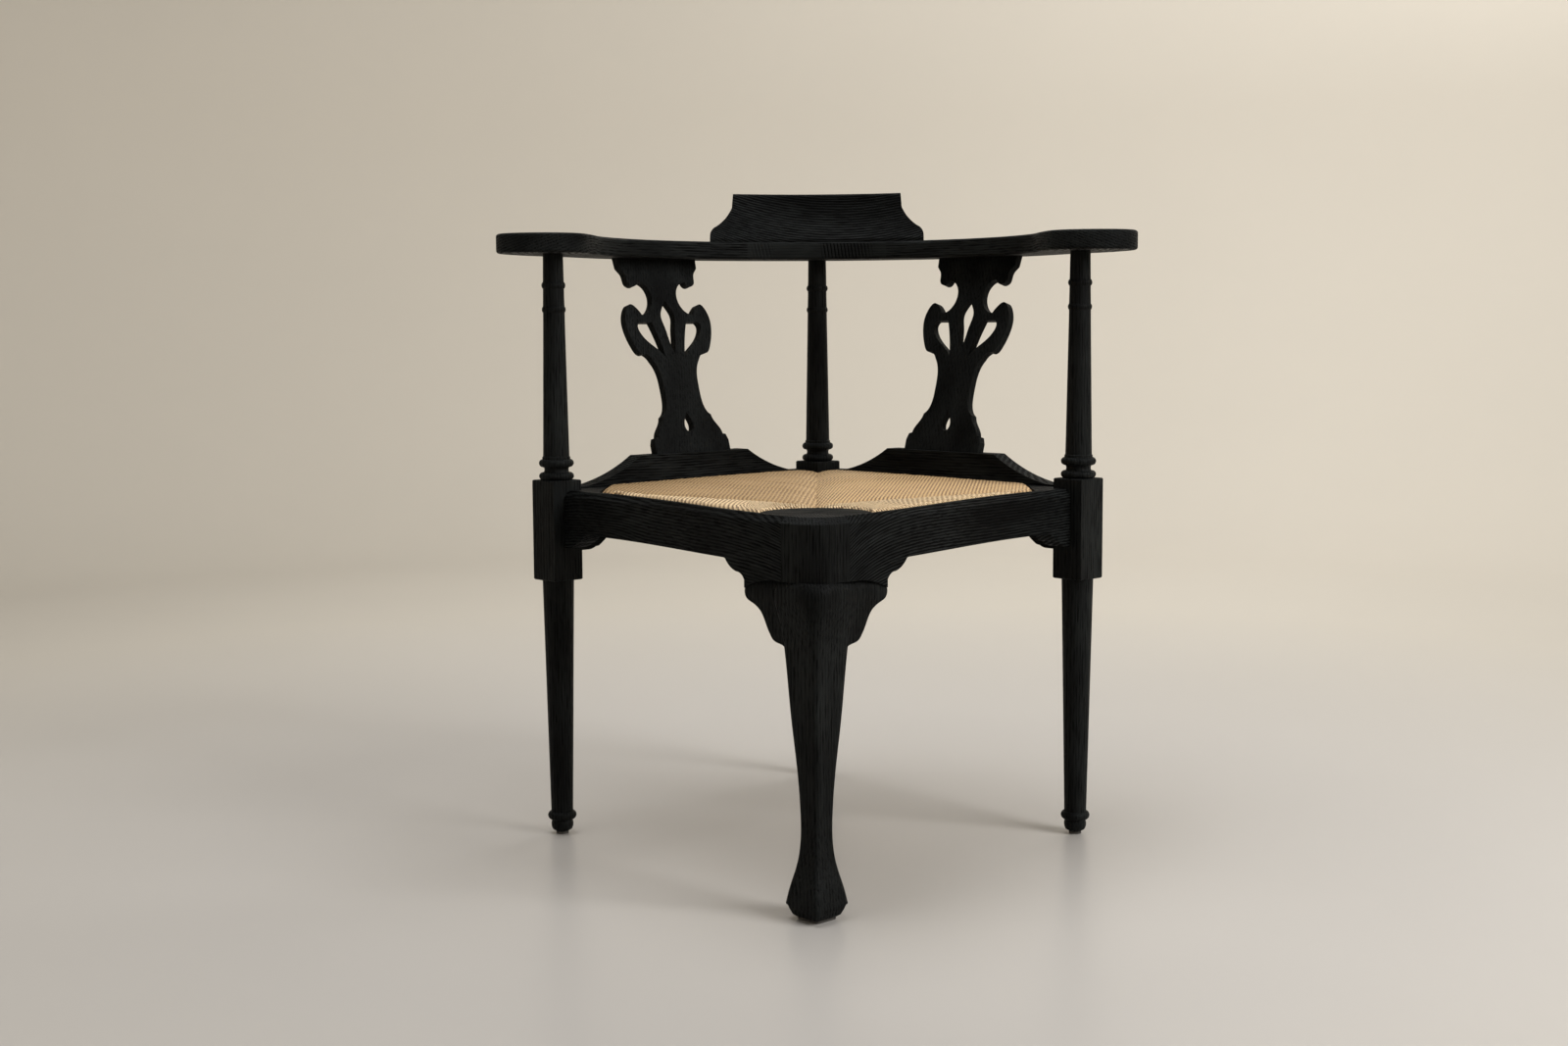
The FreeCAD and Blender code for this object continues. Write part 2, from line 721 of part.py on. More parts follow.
def stand_on_side(body, inward):
    """Stands a body on the right back side, its own y = 0 this far inwards of the legs' line."""
    x = f"leg_spacing / 4 - ({inward}) * sqrt(0.5)"
    stand(body, x, f"{x} + {SHIFT}", "0", side_turn)
    doc.recompute()
    return body


def in_chair(shape):
    """Moves a shape from the back side's frame to the chair's own, before the frame's shift."""
    moved = shape.copy()
    moved.transformShape(Placement(side_middle, side_turn).toMatrix(), True)
    return moved


def back_rail():
    body = start_body("back_rail_right")

    def spot(side, along, down):
        return (f"{side} * ({SIDE_HALF} - bracket_length * {along})",
                f"rail_top - rail_height - bracket_drop * {down}")

    left, right = "-1", "1"
    points = [
        (f"{left} * {SIDE_HALF}", "rail_top"),
        spot(left, 0, 1),
        spot(left, 0.41, 1),
        spot(left, 0.55, 0.88) + spot(left, 0.48, 0.96),
        spot(left, 0.625, 0.86),
        spot(left, 1, 0) + spot(left, 0.79, 0.56),
        spot(right, 1, 0),
        spot(right, 0.625, 0.86) + spot(right, 0.79, 0.56),
        spot(right, 0.55, 0.88),
        spot(right, 0.41, 1) + spot(right, 0.48, 0.96),
        spot(right, 0, 1),
        (f"{right} * {SIDE_HALF}", "rail_top"),
    ]
    add_pad(body, "XZ_Plane", "rail_thick", points)
    tenons = f"2 * ({SIDE_HALF} + tenon_length)"
    add_box(body, "Additive", (tenons, "tenon_thick", "tenon_height"),
            f"-1 * ({SIDE_HALF} + tenon_length)", "-tenon_thick / 2", "tenon_low")
    for run in CLEAT_SCREW_RUNS:
        add_rod(body, "Subtractive", "screw_radius + joint_clearance",
                "cleat_screw_length - cleat_side + screw_head_sunk + 1", run, "rail_thick / 2",
                CLEAT_MIDDLE, Rotation(Vector(1, 0, 0), 90))
    stand_on_side(body, "-1 * " + BACK_TENON_OUT)
    return keep("back_rail_right", body)


# The seat's cleats start this far from the rail's middle; their screws are counted from there.
CLEAT_SCREW_RUNS = [f"cleat_length / 2 - cleat_start {step}"
                    for step in ("- cleat_screw_step", "", "+ cleat_screw_step")]
CLEAT_MIDDLE = "rail_top - rebate_depth - cleat_side / 2"


def lean_place():
    return Placement(Vector(size("splat_shift"), rail_mid_y, shoe_top),
                     Rotation(Vector(1, 0, 0), size("splat_lean")))


splat_rise = (size("arm_low") - shoe_top) / math.cos(math.radians(size("splat_lean")))


def splat_tenons(gap):
    """Leaning tenons at the splat's foot and head, in the back side's frame."""
    wide = size("splat_tenon_width") + 2 * gap
    thick = size("splat_tenon_thick") + 2 * gap
    deep = size("splat_tenon_length") + gap
    foot = Part.makeBox(wide, thick, deep + 6, Vector(-wide / 2, -thick / 2, -deep))
    head = Part.makeBox(wide, thick, deep + 6, Vector(-wide / 2, -thick / 2, splat_rise - 6))
    both = Part.makeCompound([foot, head])
    both.transformShape(lean_place().toMatrix(), True)
    return both.Solids


def shoe():
    body = start_body("shoe_right")
    base = "rail_top"
    top = "rail_top + shoe_height"
    end = "rail_top + shoe_end_height"
    ramp_high = "rail_top + shoe_height * 0.4"
    foot = "(shoe_flat_half + shoe_ramp_length)"
    bend = "(shoe_flat_half + shoe_ramp_length * 0.48)"
    points = [
        (SIDE_HALF, base),
        (SIDE_HALF, end),
        (foot, end),
        ("shoe_flat_half", top, bend, ramp_high),
        ("-shoe_flat_half", top),
        ("-1 * " + foot, end, "-1 * " + bend, ramp_high),
        ("-1 * " + SIDE_HALF, end),
        ("-1 * " + SIDE_HALF, base),
    ]
    add_pad(body, "XZ_Plane", "shoe_thick", points)
    slot = []
    for across, along in ((-1, -1), (1, -1), (1, 1), (-1, 1)):
        a = f"({across} * (splat_tenon_thick / 2 + joint_clearance))"
        b = "(-1 * (splat_tenon_length + joint_clearance))" if along < 0 else "6"
        slot.append((f"{a} * cos(splat_lean) - {b} * sin(splat_lean)",
                     f"rail_top + shoe_height + {a} * sin(splat_lean) + {b} * cos(splat_lean)"))
    pocket = add_pocket(body, "YZ_Plane", "splat_tenon_width + 2 * joint_clearance", slot)
    sketch = pocket.Profile[0]
    sketch.setExpression("AttachmentOffset.Base.z", bound("splat_shift"))
    stand_on_side(body, "-1 * " + BACK_TENON_OUT)
    return keep("shoe_right", body)



# Half outline of the splat from its foot up: distance from the centre line, height along the board.
# It is drawn for a half width of 72 and a rise of 258.5, and scaled to the sizes in the sheet.
DRAWN_HALF_WIDTH = 72
DRAWN_RISE = 258.5
SPLAT_EDGE = [
    ("line", [(63, -12), (63, 12), (60, 20)]),
    ("line", [(60, 20), (55, 21)]),
    ("curve", [(55, 21), (51, 30), (43.5, 40), (41, 47)]),
    ("curve", [(41, 47), (34.5, 53), (30.5, 64), (29.5, 82), (31.5, 106), (39, 121)]),
    ("curve", [(39, 121), (42.5, 126), (49, 130.5)]),
    ("curve", [(49, 130.5), (56, 130.5), (63.5, 140), (70, 157), (72, 172), (69, 185), (59, 196),
               (49.5, 190.5), (43, 182)]),
    ("curve", [(43, 182), (35.5, 183.5), (26.5, 191), (21.5, 204), (24.5, 217), (31, 223.5),
               (40, 226)]),
    ("curve", [(40, 226), (47.5, 220), (56, 224), (57.5, 232), (60, 239)]),
    ("line", [(60, 239), (65.5, 245), (68, 275)]),
]
SPLAT_EYE = [(0, 201), (6.5, 192), (11.6, 181), (8.5, 165), (5.2, 147), (0, 130)]
SPLAT_EAR_HOLE = [(29.5, 172), (50, 172), (53.5, 166.5), (50.5, 157), (42, 147), (29, 137), (16, 124),
                  (19.5, 142), (25, 160)]
SPLAT_DROP = [(0, 52), (4.8, 43), (7.2, 34), (5, 28), (0, 25.5)]


def splat():
    thick = size("splat_thick")
    front = -thick / 2

    wider = size("splat_half_width") / DRAWN_HALF_WIDTH
    taller = splat_rise / DRAWN_RISE

    def spot(point, side=1):
        return Vector(side * point[0] * wider, front, point[1] * taller)

    def closed(points, corners):
        """Closed outline: straight at the corners named, smooth between them."""
        edges = []
        marks = corners + [len(points) + corners[0]]
        ring = points + points
        for start, end in zip(marks, marks[1:]):
            stretch = ring[start:end + 1]
            if len(stretch) == 2:
                edges.append(Part.makeLine(stretch[0], stretch[1]))
            else:
                curve = Part.BSplineCurve()
                curve.interpolate(stretch)
                edges.append(curve.toShape())
        return Part.Face(Part.Wire(edges))

    edges = []
    for side in (1, -1):
        for kind, points in SPLAT_EDGE:
            spots = [spot(point, side) for point in points]
            if kind == "line":
                edges += [Part.makeLine(a, b) for a, b in zip(spots, spots[1:])]
            else:
                curve = Part.BSplineCurve()
                curve.interpolate(spots)
                edges.append(curve.toShape())
    foot = SPLAT_EDGE[0][1][0]
    head = SPLAT_EDGE[-1][1][-1]
    edges.append(Part.makeLine(spot(foot), spot(foot, -1)))
    edges.append(Part.makeLine(spot(head), spot(head, -1)))
    face = Part.Face(Part.Wire(Part.__sortEdges__(edges)))
    holes = []
    for outline in (SPLAT_EYE, SPLAT_DROP):
        right = [spot(point) for point in outline]
        left = [spot(point, -1) for point in outline[-2:0:-1]]
        holes.append(closed(right + left, [0, len(right) - 1]))
    for side in (1, -1):
        holes.append(closed([spot(point, side) for point in SPLAT_EAR_HOLE], [0, 1, 6]))
    for hole in holes:
        face = face.cut(hole)
    board = face.extrude(Vector(0, thick, 0))
    board.transformShape(lean_place().toMatrix(), True)
    board = board.common(slab(shoe_top, size("arm_low")))
    for tenon in splat_tenons(0):
        board = board.fuse(tenon)
    return board.removeSplitter()


back_rail()
mirrored_piece("back_rail_left", pieces["back_rail_right"])
shoe()
mirrored_piece("shoe_left", pieces["shoe_right"])
solid_piece("splat_right", splat(), side_place)
mirrored_piece("splat_left", pieces["splat_right"])


# Arm: one horseshoe in plan, sawn by two radial planes into a middle piece and two side arms.

def arm_plan():
    inner = size("arm_inner_radius")
    outer = arm_outer_radius
    half = size("arm_end_half_width")
    middle = size("arm_end_centre")
    tip = -size("arm_end_reach")
    swell = math.radians(24)
    hollow = math.radians(14)
    outer_leave = (outer * math.cos(swell), outer * math.sin(swell), 0)
    inner_leave = (inner * math.cos(hollow), inner * math.sin(hollow), 0)
    edges = [arc_through((-outer_leave[0], outer_leave[1], 0), (0, outer, 0), outer_leave),
             arc_through((-inner_leave[0], inner_leave[1], 0), (0, inner, 0), inner_leave)]
    for side in (1, -1):
        paddle = Part.BSplineCurve()
        spots = [outer_leave, (middle + half - 26, 72, 0), (middle + half - 8, 32, 0),
                 (middle + half, -10, 0), (middle + half - 12, -44, 0), (middle, tip, 0),
                 (middle - half + 12, -44, 0), (middle - half, -10, 0), (middle - half - 4, 26, 0),
                 inner_leave]
        spots = [Vector(side * x, y, z) for x, y, z in spots]
        start_run = Vector(side * math.sin(swell), -math.cos(swell), 0)
        end_run = Vector(-side * math.sin(hollow), math.cos(hollow), 0)
        paddle.interpolate(Points=spots, InitialTangent=start_run, FinalTangent=end_run)
        edges.append(paddle.toShape())
    face = Part.Face(Part.Wire(Part.__sortEdges__(edges)))
    face.translate(Vector(0, 0, size("arm_low")))
    return face


joint_turn = math.radians(size("arm_joint_angle"))


def middle_wedge():
    reach = 600
    corners = [Vector(0, 0, 0), Vector(reach * math.sin(joint_turn), reach * math.cos(joint_turn), 0),
               Vector(-reach * math.sin(joint_turn), reach * math.cos(joint_turn), 0)]
    return prism(corners, 1000, Vector(0, 0, 1))


def arm_joint_tenon(side, gap):
    """Loose-fitting stub tenon from the middle piece into a side arm."""
    middle_radius = size("arm_inner_radius") + size("arm_width") / 2
    root = Vector(side * middle_radius * math.sin(joint_turn), middle_radius * math.cos(joint_turn), 0)
    toward = Vector(side * math.cos(joint_turn), -math.sin(joint_turn), 0)
    thick = size("arm_thick") / 3 + 2 * gap
    low = size("arm_low") + size("arm_thick") / 3 - gap
    return tenon_box(6, size("arm_tenon_length") + gap, root, toward,
                     size("arm_tenon_width") + 2 * gap, low, thick)


def chair_shape(node):
    """Shape of a finished piece in the chair's own axes, before the frame's shift."""
    obj = pieces[node]
    shape = obj.Shape.copy()
    shape.transformShape(Placement(Vector(0, -frame_shift, 0), Rotation()).toMatrix(), True)
    return shape


arm_full = arm_plan().extrude(Vector(0, 0, size("arm_thick")))
rims = [edge for edge in arm_full.Edges if edge.BoundBox.ZLength < 0.01]
arm_full = arm_full.makeFillet(size("arm_edge_round"), rims)
for x, y in ((half_spacing, 0), (-half_spacing, 0), (0, half_spacing)):
    hole = Part.makeCylinder(size("top_tenon_radius") + gap, size("top_tenon_length") + gap,
                             Vector(x, y, size("arm_low")))
    arm_full = arm_full.cut(hole)
splat_head = in_chair(splat_tenons(gap)[1])
arm_full = arm_full.cut(splat_head).cut(splat_head.mirror(Vector(0, 0, 0), Vector(1, 0, 0)))

crest_screw_spots = []
crest_screw_radius = size("arm_inner_radius") + size("crest_face_inset") + size("crest_base_thick") / 2
for side in (-1, 1):
    turn = math.radians(side * size("crest_screw_turn"))
    crest_screw_spots.append((crest_screw_radius * math.sin(turn), crest_screw_radius * math.cos(turn)))
for x, y in crest_screw_spots:
    spot = Vector(x, y, size("arm_low"))
    arm_full = arm_full.cut(Part.makeCylinder(size("screw_head_radius") + gap, size("crest_screw_sunk"), spot))
    arm_full = arm_full.cut(Part.makeCylinder(size("screw_radius") + gap, size("arm_thick") + 1, spot))

arm_middle = arm_full.common(middle_wedge())
arm_sides = arm_full.cut(middle_wedge())
for side in (1, -1):
    arm_middle = arm_middle.fuse(arm_joint_tenon(side, 0))
    arm_sides = arm_sides.cut(arm_joint_tenon(side, gap))
arm_middle = arm_middle.removeSplitter()
solid_piece("arm_centre", arm_middle)
arm_right = [solid for solid in arm_sides.Solids if solid.CenterOfMass.x > 0][0]
solid_piece("arm_right", arm_right)
mirrored_piece("arm_left", pieces["arm_right"])



def crest():
    """Section in the Y-Z plane, turned about the chair's axis, then sawn to its outline from behind."""
    body = start_body("crest")
    low = "(arm_low + arm_thick)"
    high = f"({low} + crest_height)"
    front = "(arm_inner_radius + crest_face_inset)"
    back = f"({front} + crest_base_thick)"
    top_back = f"({back} + 3)"
    top_front = f"({top_back} - crest_top_thick)"
    section = [
        (front, low),
        (back, low),
        (top_back, f"{high} - 5", f"{back} - 1", f"{low} + 30"),
        (f"{top_back} - 5", high, f"{top_back} - 1.5", f"{high} - 1.5"),
        (f"{top_front} + 4", high),
        (top_front, f"{high} - 4", f"{top_front} + 1.2", f"{high} - 1.2"),
        (front, f"{low} + 4", f"{front} + 11.5", f"{low} + 25"),
    ]
    add_turning(body, "YZ_Plane", 70, section)
    base = "crest_base_half"
    top = "crest_top_half"
    right = [
        (base, f"{low} - 1"),
        (base, f"{low} + 8.5"),
        (f"{base} - 8", f"{low} + 20.5", f"{base} - 2.5", f"{low} + 16"),
        (f"{top} + 1.5", f"{high} - 18.5", f"{top} + 10", f"{low} + 31"),
        (top, f"{high} + 1"),
    ]
    left = [
        (f"-1 * {top}", f"{high} + 1"),
        (f"-1 * ({top} + 1.5)", f"{high} - 18.5"),
        (f"8 - {base}", f"{low} + 20.5", f"-1 * ({top} + 10)", f"{low} + 31"),
        (f"-1 * {base}", f"{low} + 8.5", f"2.5 - {base}", f"{low} + 16"),
        (f"-1 * {base}", f"{low} - 1"),
    ]
    wide = f"{base} + 120"
    sheet_round = [(f"-1 * ({wide})", f"{low} - 20"), (wide, f"{low} - 20"), (wide, f"{high} + 20"),
                   (f"-1 * ({wide})", f"{high} + 20")]
    add_pocket(body, "XZ_Plane", "3 * arm_inner_radius", sheet_round, right + left)
    for side in ("-1", "1"):
        add_rod(body, "Subtractive", "screw_radius + joint_clearance",
                "arm_low + crest_screw_sunk + crest_screw_length + 1 - " + low, *crest_spot(side), low)
    stand(body, "0", SHIFT, "0")
    return keep("crest", body)


def crest_spot(side):
    radius = "(arm_inner_radius + crest_face_inset + crest_base_thick / 2)"
    return (f"{side} * {radius} * sin(crest_screw_turn)", f"{radius} * cos(crest_screw_turn)")


crest()


# Drop-in seat and the blocks round it. "margin" is the distance inside the opening's edges.

def inside_front_rails(depth, low, high):
    """Everything behind the two front rails at a depth from their faces."""
    sweep = rail_sweep(depth)
    start = sweep.StartPoint
    end = sweep.EndPoint
    corners = [end, Vector(0, end.y - end.x, 0), Vector(0, 500, 0), Vector(start.x + 200, 500, 0),
               Vector(start.x + 200, start.y, 0), start]
    edges = [sweep.toShape()]
    edges += [Part.makeLine(a, b) for a, b in zip(corners, corners[1:])]
    face = Part.Face(Part.Wire(Part.__sortEdges__(edges)))
    face.translate(Vector(0, 0, low))
    half = face.extrude(Vector(0, 0, high - low))
    return half.fuse(half.mirror(Vector(0, 0, 0), Vector(1, 0, 0))).removeSplitter()


def back_wedge(margin, low, high):
    """Everything in front of the two back rails' inner faces."""
    corner = half_spacing - math.sqrt(2) * (rail_inner_step + margin)
    reach = 3 * half_spacing
    points = [Vector(0, corner, low), Vector(-reach, corner - reach, low), Vector(reach, corner - reach, low)]
    return prism(points, high - low, Vector(0, 0, 1))


hollow_centre = Vector(0, 40 - size("seam_reach"), 0)
outline_depth = size("rail_rim")


def seat_prism(margin, low, high):
    shape = inside_front_rails(outline_depth + margin, low, high).common(back_wedge(margin, low, high))
    more = margin - size("seat_clearance")
    tip = size("seat_tip") - more
    shape = shape.common(Part.makeBox(2 * tip, 1200, high - low, Vector(-tip, -600, low)))
    shape = shape.cut(Part.makeCylinder(size("notch_radius") + more, high - low,
                                        hollow_centre + Vector(0, 0, low)))
    corner = math.sqrt(2) * (block_half + margin)
    points = [Vector(0, half_spacing - corner, low), Vector(corner, half_spacing, low),
              Vector(0, half_spacing + corner, low), Vector(-corner, half_spacing, low)]
    return shape.cut(prism(points, high - low, Vector(0, 0, 1))).removeSplitter()


slat_low = rebate_level + size("rush_wall") + size("soft_clearance")
slat_high = slat_low + size("slat_thick")
frame_margin = size("seat_clearance") + size("rush_wall")


def seat_ring(grow):
    outer = seat_prism(frame_margin - grow, slat_low - grow, slat_high + grow)
    inner = seat_prism(frame_margin + size("slat_width") + grow, slat_low - grow, slat_high + grow)
    return outer.cut(inner)


ring = seat_ring(0)
split_level = 8
for node, y_side in (("seat_frame_front_right", -1), ("seat_frame_back_right", 1)):
    corner = Vector(0, split_level if y_side > 0 else split_level - 600, slat_low - 1)
    quarter = Part.makeBox(600, 600, size("slat_thick") + 2, corner)
    solid_piece(node, ring.common(quarter))
    mirrored_piece(node.replace("right", "left"), pieces[node])


def trough(start, end, half_width, depth, high):
    """Shallow V along a seam of the rush, open upwards."""
    along = (end - start).normalize()
    beside = Vector(-along.y, along.x, 0)
    points = [start + beside * half_width + Vector(0, 0, high), start + Vector(0, 0, high - depth),
              start - beside * half_width + Vector(0, 0, high)]
    return prism(points, (end - start).Length, along)


def rounded_rim(pad, high):
    rim = [edge for edge in pad.Edges if edge.BoundBox.ZMin > high - 0.01]
    for share in (1, 0.7, 0.4):
        try:
            rounded = pad.makeFillet(size("rush_edge") * share, rim)
        except Part.OCCError:
            continue
        if rounded.isValid():
            return rounded
    return pad


def rush():
    """Pad with a rolled edge, a low crown, and dips where the cords of two panels meet."""
    low = rebate_level + size("soft_clearance")
    edge_high = size("rail_top") + size("seat_rise")
    pad = rounded_rim(seat_prism(size("seat_clearance"), low, edge_high), edge_high)
    radius = size("crown_radius")
    reach = 2 * half_spacing
    for turn in (0, 90):
        crown = Part.makeCylinder(radius, 2 * reach, Vector(-reach, 0, edge_high - radius), Vector(1, 0, 0))
        crown = crown.common(Part.makeBox(2 * reach, 2 * reach, 200, Vector(-reach, -reach, edge_high - 150)))
        crown.rotate(Vector(0, 0, 0), Vector(0, 0, 1), turn)
        pad = pad.common(crown)
    rear = Vector(0, half_spacing, 0)
    front = Vector(0, hollow_centre.y + size("notch_radius") - 20, 0)
    pad = pad.cut(trough(front, rear, size("seam_half_width"), size("seam_depth"), edge_high + 0.2))
    tip_y = inside_tip(size("seat_tip"))
    for side in (1, -1):
        tip = Vector(side * (size("seat_tip") + 20), tip_y + 14, 0)
        pad = pad.cut(trough(front + Vector(0, 16, 0), tip, size("strip_half_width"),
                             size("strip_depth"), edge_high - 1.6))
    return pad.cut(seat_ring(size("soft_clearance")))


def inside_tip(reach):
    """Level in plan where the middle of the seat's cut-off side corner lies."""
    return (half_spacing - reach - block_corner * 2) / 2 - 45 + 8


solid_piece("rush_seat", rush())


def largest(shape):
    return max(shape.Solids, key=lambda solid: solid.Volume)


def front_corner_block():
    low = size("rail_top") - size("corner_block_thick")
    shape = inside_front_rails(outline_depth, low, size("rail_top"))
    disc = Part.makeCylinder(size("notch_radius") - size("seat_clearance"), size("corner_block_thick"),
                             hollow_centre + Vector(0, 0, low))
    shape = shape.common(disc)
    for node in ("front_rail_right", "front_rail_left", "front_leg"):
        shape = shape.cut(chair_shape(node))
    return largest(shape)


def side_block():
    low = size("rail_top") - size("corner_block_thick")
    high = size("rail_top")
    shape = inside_front_rails(outline_depth, low, high).common(back_wedge(0, low, high))
    inner = size("seat_tip") + size("seat_clearance")
    shape = shape.common(Part.makeBox(half_spacing - inner, 2 * half_spacing, high - low,
                                      Vector(inner, -half_spacing, low)))
    for node in ("front_rail_right", "back_rail_right", "right_leg"):
        shape = shape.cut(chair_shape(node))
    return largest(shape)


def rear_corner_block():
    low = rebate_level - size("rear_block_thick")
    shape = back_wedge(0, low, rebate_level)
    front = half_spacing - size("rear_block_reach")
    shape = shape.common(Part.makeBox(2 * half_spacing, half_spacing, size("rear_block_thick"),
                                      Vector(-half_spacing, front, low)))
    return largest(shape.cut(chair_shape("rear_leg")))


solid_piece("front_corner_block", front_corner_block())
solid_piece("side_block_right", side_block())
mirrored_piece("side_block_left", pieces["side_block_right"])
solid_piece("rear_corner_block", rear_corner_block())


# Cleats carry the seat's back edges; their screws pass into the back rails.
back_turn = Rotation(Vector(1, 0, 0), 90)
CLEAT_BACK = "(rail_thick - block_side / 2)"


def seat_cleat():
    """The body's own y = 0 is the back rail's inner face."""
    body = start_body("seat_cleat_right")
    low = "rail_top - rebate_depth - cleat_side"
    add_box(body, "Additive", ("cleat_length", "cleat_side", "cleat_side"), "-cleat_start", "0", low)
    for run in CLEAT_SCREW_RUNS:
        add_rod(body, "Subtractive", "screw_radius + joint_clearance", "cleat_side + 2", run,
                "cleat_side + 1", CLEAT_MIDDLE, back_turn)
        add_rod(body, "Subtractive", "screw_head_radius + joint_clearance", "screw_head_sunk + 1", run,
                "cleat_side + 1", CLEAT_MIDDLE, back_turn)
    stand_on_side(body, CLEAT_BACK)
    return keep("seat_cleat_right", body)


seat_cleat()
mirrored_piece("seat_cleat_left", pieces["seat_cleat_right"])


def rod(radius, length, x, y, z, turn=None):
    shaft = doc.addObject("Part::Cylinder", "rod")
    bind(shaft, Radius=radius, Height=length)
    return stand(shaft, x, y, z, turn)


def joined(kind, parts):
    obj = doc.addObject("Part::" + kind, kind.lower())
    if kind == "Compound":
        obj.Links = parts
    else:
        obj.Shapes = parts
    return obj


screws = []
for run in CLEAT_SCREW_RUNS:
    for side in ("1", "-1"):
        turn = Rotation(Vector(0, 0, 1), 135 * int(side)).multiply(back_turn)
        along = f"({run}) * sqrt(0.5)"
        seat_face = f"({CLEAT_BACK} + cleat_side - screw_head_sunk)"
        ends = []
        for start, radius, length in ((seat_face, "screw_radius", "cleat_screw_length"),
                                      (f"({seat_face} + screw_head_thick)", "screw_head_radius",
                                       "screw_head_thick")):
            x = f"{side} * (leg_spacing / 4 - {along} - {start} * sqrt(0.5))"
            y = f"leg_spacing / 4 + {along} - {start} * sqrt(0.5) + {SHIFT}"
            ends.append(rod(radius, length, x, y, CLEAT_MIDDLE, turn))
        screws.append(joined("MultiFuse", ends))
keep("cleat_screws", joined("Compound", screws))

screws = []
for side in ("1", "-1"):
    x, y = crest_spot(side)
    y = f"{y} + {SHIFT}"
    head_top = "arm_low + crest_screw_sunk"
    screws.append(joined("MultiFuse", [
        rod("screw_radius", "crest_screw_length", x, y, head_top),
        rod("screw_head_radius", "screw_head_thick", x, y, head_top + " - screw_head_thick")]))
keep("crest_screws", joined("Compound", screws))

glides = []
for x, y in (("leg_spacing / 2", "0"), ("-leg_spacing / 2", "0"), ("0", "leg_spacing / 2")):
    glides.append(rod("foot_pad_radius", "glide_thick", x, f"{y} + {SHIFT}", "0"))
keep("foot_glides", joined("Compound", glides))
front_pad = Part.Face(cornerwise_square(0, size("front_pad_radius"), -foot_centre, 5))
solid_piece("front_foot_pad", front_pad.extrude(Vector(0, 0, floor_gap)))


doc.recompute()
failed = []
for node, obj in pieces.items():
    shape = obj.Shape
    if "Invalid" in obj.State or "Error" in obj.State or shape.isNull() or not shape.isValid():
        failed.append(node)
    print(node, "solids", len(shape.Solids), "volume", round(shape.Volume / 1000, 1), "cm3")
for obj in doc.Objects:
    if "Invalid" in obj.State or "Error" in obj.State:
        failed.append(obj.Name)
if failed:
    raise RuntimeError("pieces failed: " + ", ".join(failed))

os.makedirs("parts", exist_ok=True)
for node, obj in pieces.items():
    obj.Shape.exportStep(os.path.join("parts", node + ".step"))
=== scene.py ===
import math

import bpy
import numpy as np
from mathutils import Euler, Matrix, Vector


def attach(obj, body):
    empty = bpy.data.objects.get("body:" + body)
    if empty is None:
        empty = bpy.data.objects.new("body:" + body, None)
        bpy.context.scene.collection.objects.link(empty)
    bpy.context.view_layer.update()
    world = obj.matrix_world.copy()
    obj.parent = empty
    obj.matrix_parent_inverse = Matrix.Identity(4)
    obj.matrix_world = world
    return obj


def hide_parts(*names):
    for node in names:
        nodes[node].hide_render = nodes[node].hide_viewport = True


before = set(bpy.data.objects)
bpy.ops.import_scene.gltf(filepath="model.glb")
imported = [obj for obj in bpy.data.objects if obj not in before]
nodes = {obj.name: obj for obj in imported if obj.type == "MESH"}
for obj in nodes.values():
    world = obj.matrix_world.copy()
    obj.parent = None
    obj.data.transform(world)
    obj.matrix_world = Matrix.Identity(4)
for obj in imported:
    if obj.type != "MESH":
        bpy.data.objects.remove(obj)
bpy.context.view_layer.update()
scene = bpy.context.scene
planShift = 0.0200508     # metres along Y from the chair's own plan to the frame's
print("frame loaded:", len(nodes), "nodes")


camera = {
    "place": (0.01079, -2.37922 + planShift, 0.62353),
    "yaw": 0.0213,        # radians to the left
    "pitch": 0.1008,      # radians down
    "roll": -0.0054,
    "lens": 45.347,       # millimetres
    "sensor": 36,         # the same, across
    "farthest": 50,       # metres
}


def setCamera(settings):
    # turn = yaw * tilt * roll, where a tilt of a right angle looks level and the pitch comes off
    yaw = Euler((0, 0, settings["yaw"])).to_matrix()
    tilt = Euler((math.pi / 2 - settings["pitch"], 0, 0)).to_matrix()
    roll = Euler((0, 0, settings["roll"])).to_matrix()
    eye = bpy.data.objects.new("camera", bpy.data.cameras.new("camera"))
    scene.collection.objects.link(eye)
    eye.data.lens = settings["lens"]
    eye.data.sensor_width = settings["sensor"]
    eye.data.clip_end = settings["farthest"]
    eye.matrix_world = Matrix.Translation(settings["place"]) @ (yaw @ tilt @ roll).to_4x4()
    scene.camera = eye


lamps = {
    # sizes in metres, power in watts
    "windowRight": {"place": (2.3, -1.3, 1.9), "aim": (0, 0, 0.45), "wide": 1.3, "high": 1.8,
                    "power": 74},
    "softLeft": {"place": (-2.6, -1.9, 1.5), "aim": (0, 0, 0.4), "wide": 1.6, "high": 1.6,
                 "power": 4},
    "overhead": {"place": (-0.4, 0.1, 2.9), "aim": (0, 0, 0.4), "wide": 2.2, "high": 1.6,
                 "power": 48},
    "wallWash": {"place": (1.5, 2.2, 2.9), "aim": (0.8, 4.1, 0.8), "wide": 2.8, "high": 0.9,
                 "power": 64},
}
room = {"colour": (0.95, 0.94, 0.92, 1), "strength": 0.17}


def setLamp(name, settings):
    # a lamp shines down its own -Z, so -Z is turned to the way from its place to its aim
    lamp = bpy.data.lights.new(name, "AREA")
    lamp.shape = "RECTANGLE"
    lamp.size = settings["wide"]
    lamp.size_y = settings["high"]
    lamp.energy = settings["power"]
    stand = bpy.data.objects.new(name, lamp)
    scene.collection.objects.link(stand)
    stand.location = settings["place"]
    way = Vector(settings["aim"]) - Vector(settings["place"])
    stand.rotation_euler = way.to_track_quat("-Z", "Y").to_euler()


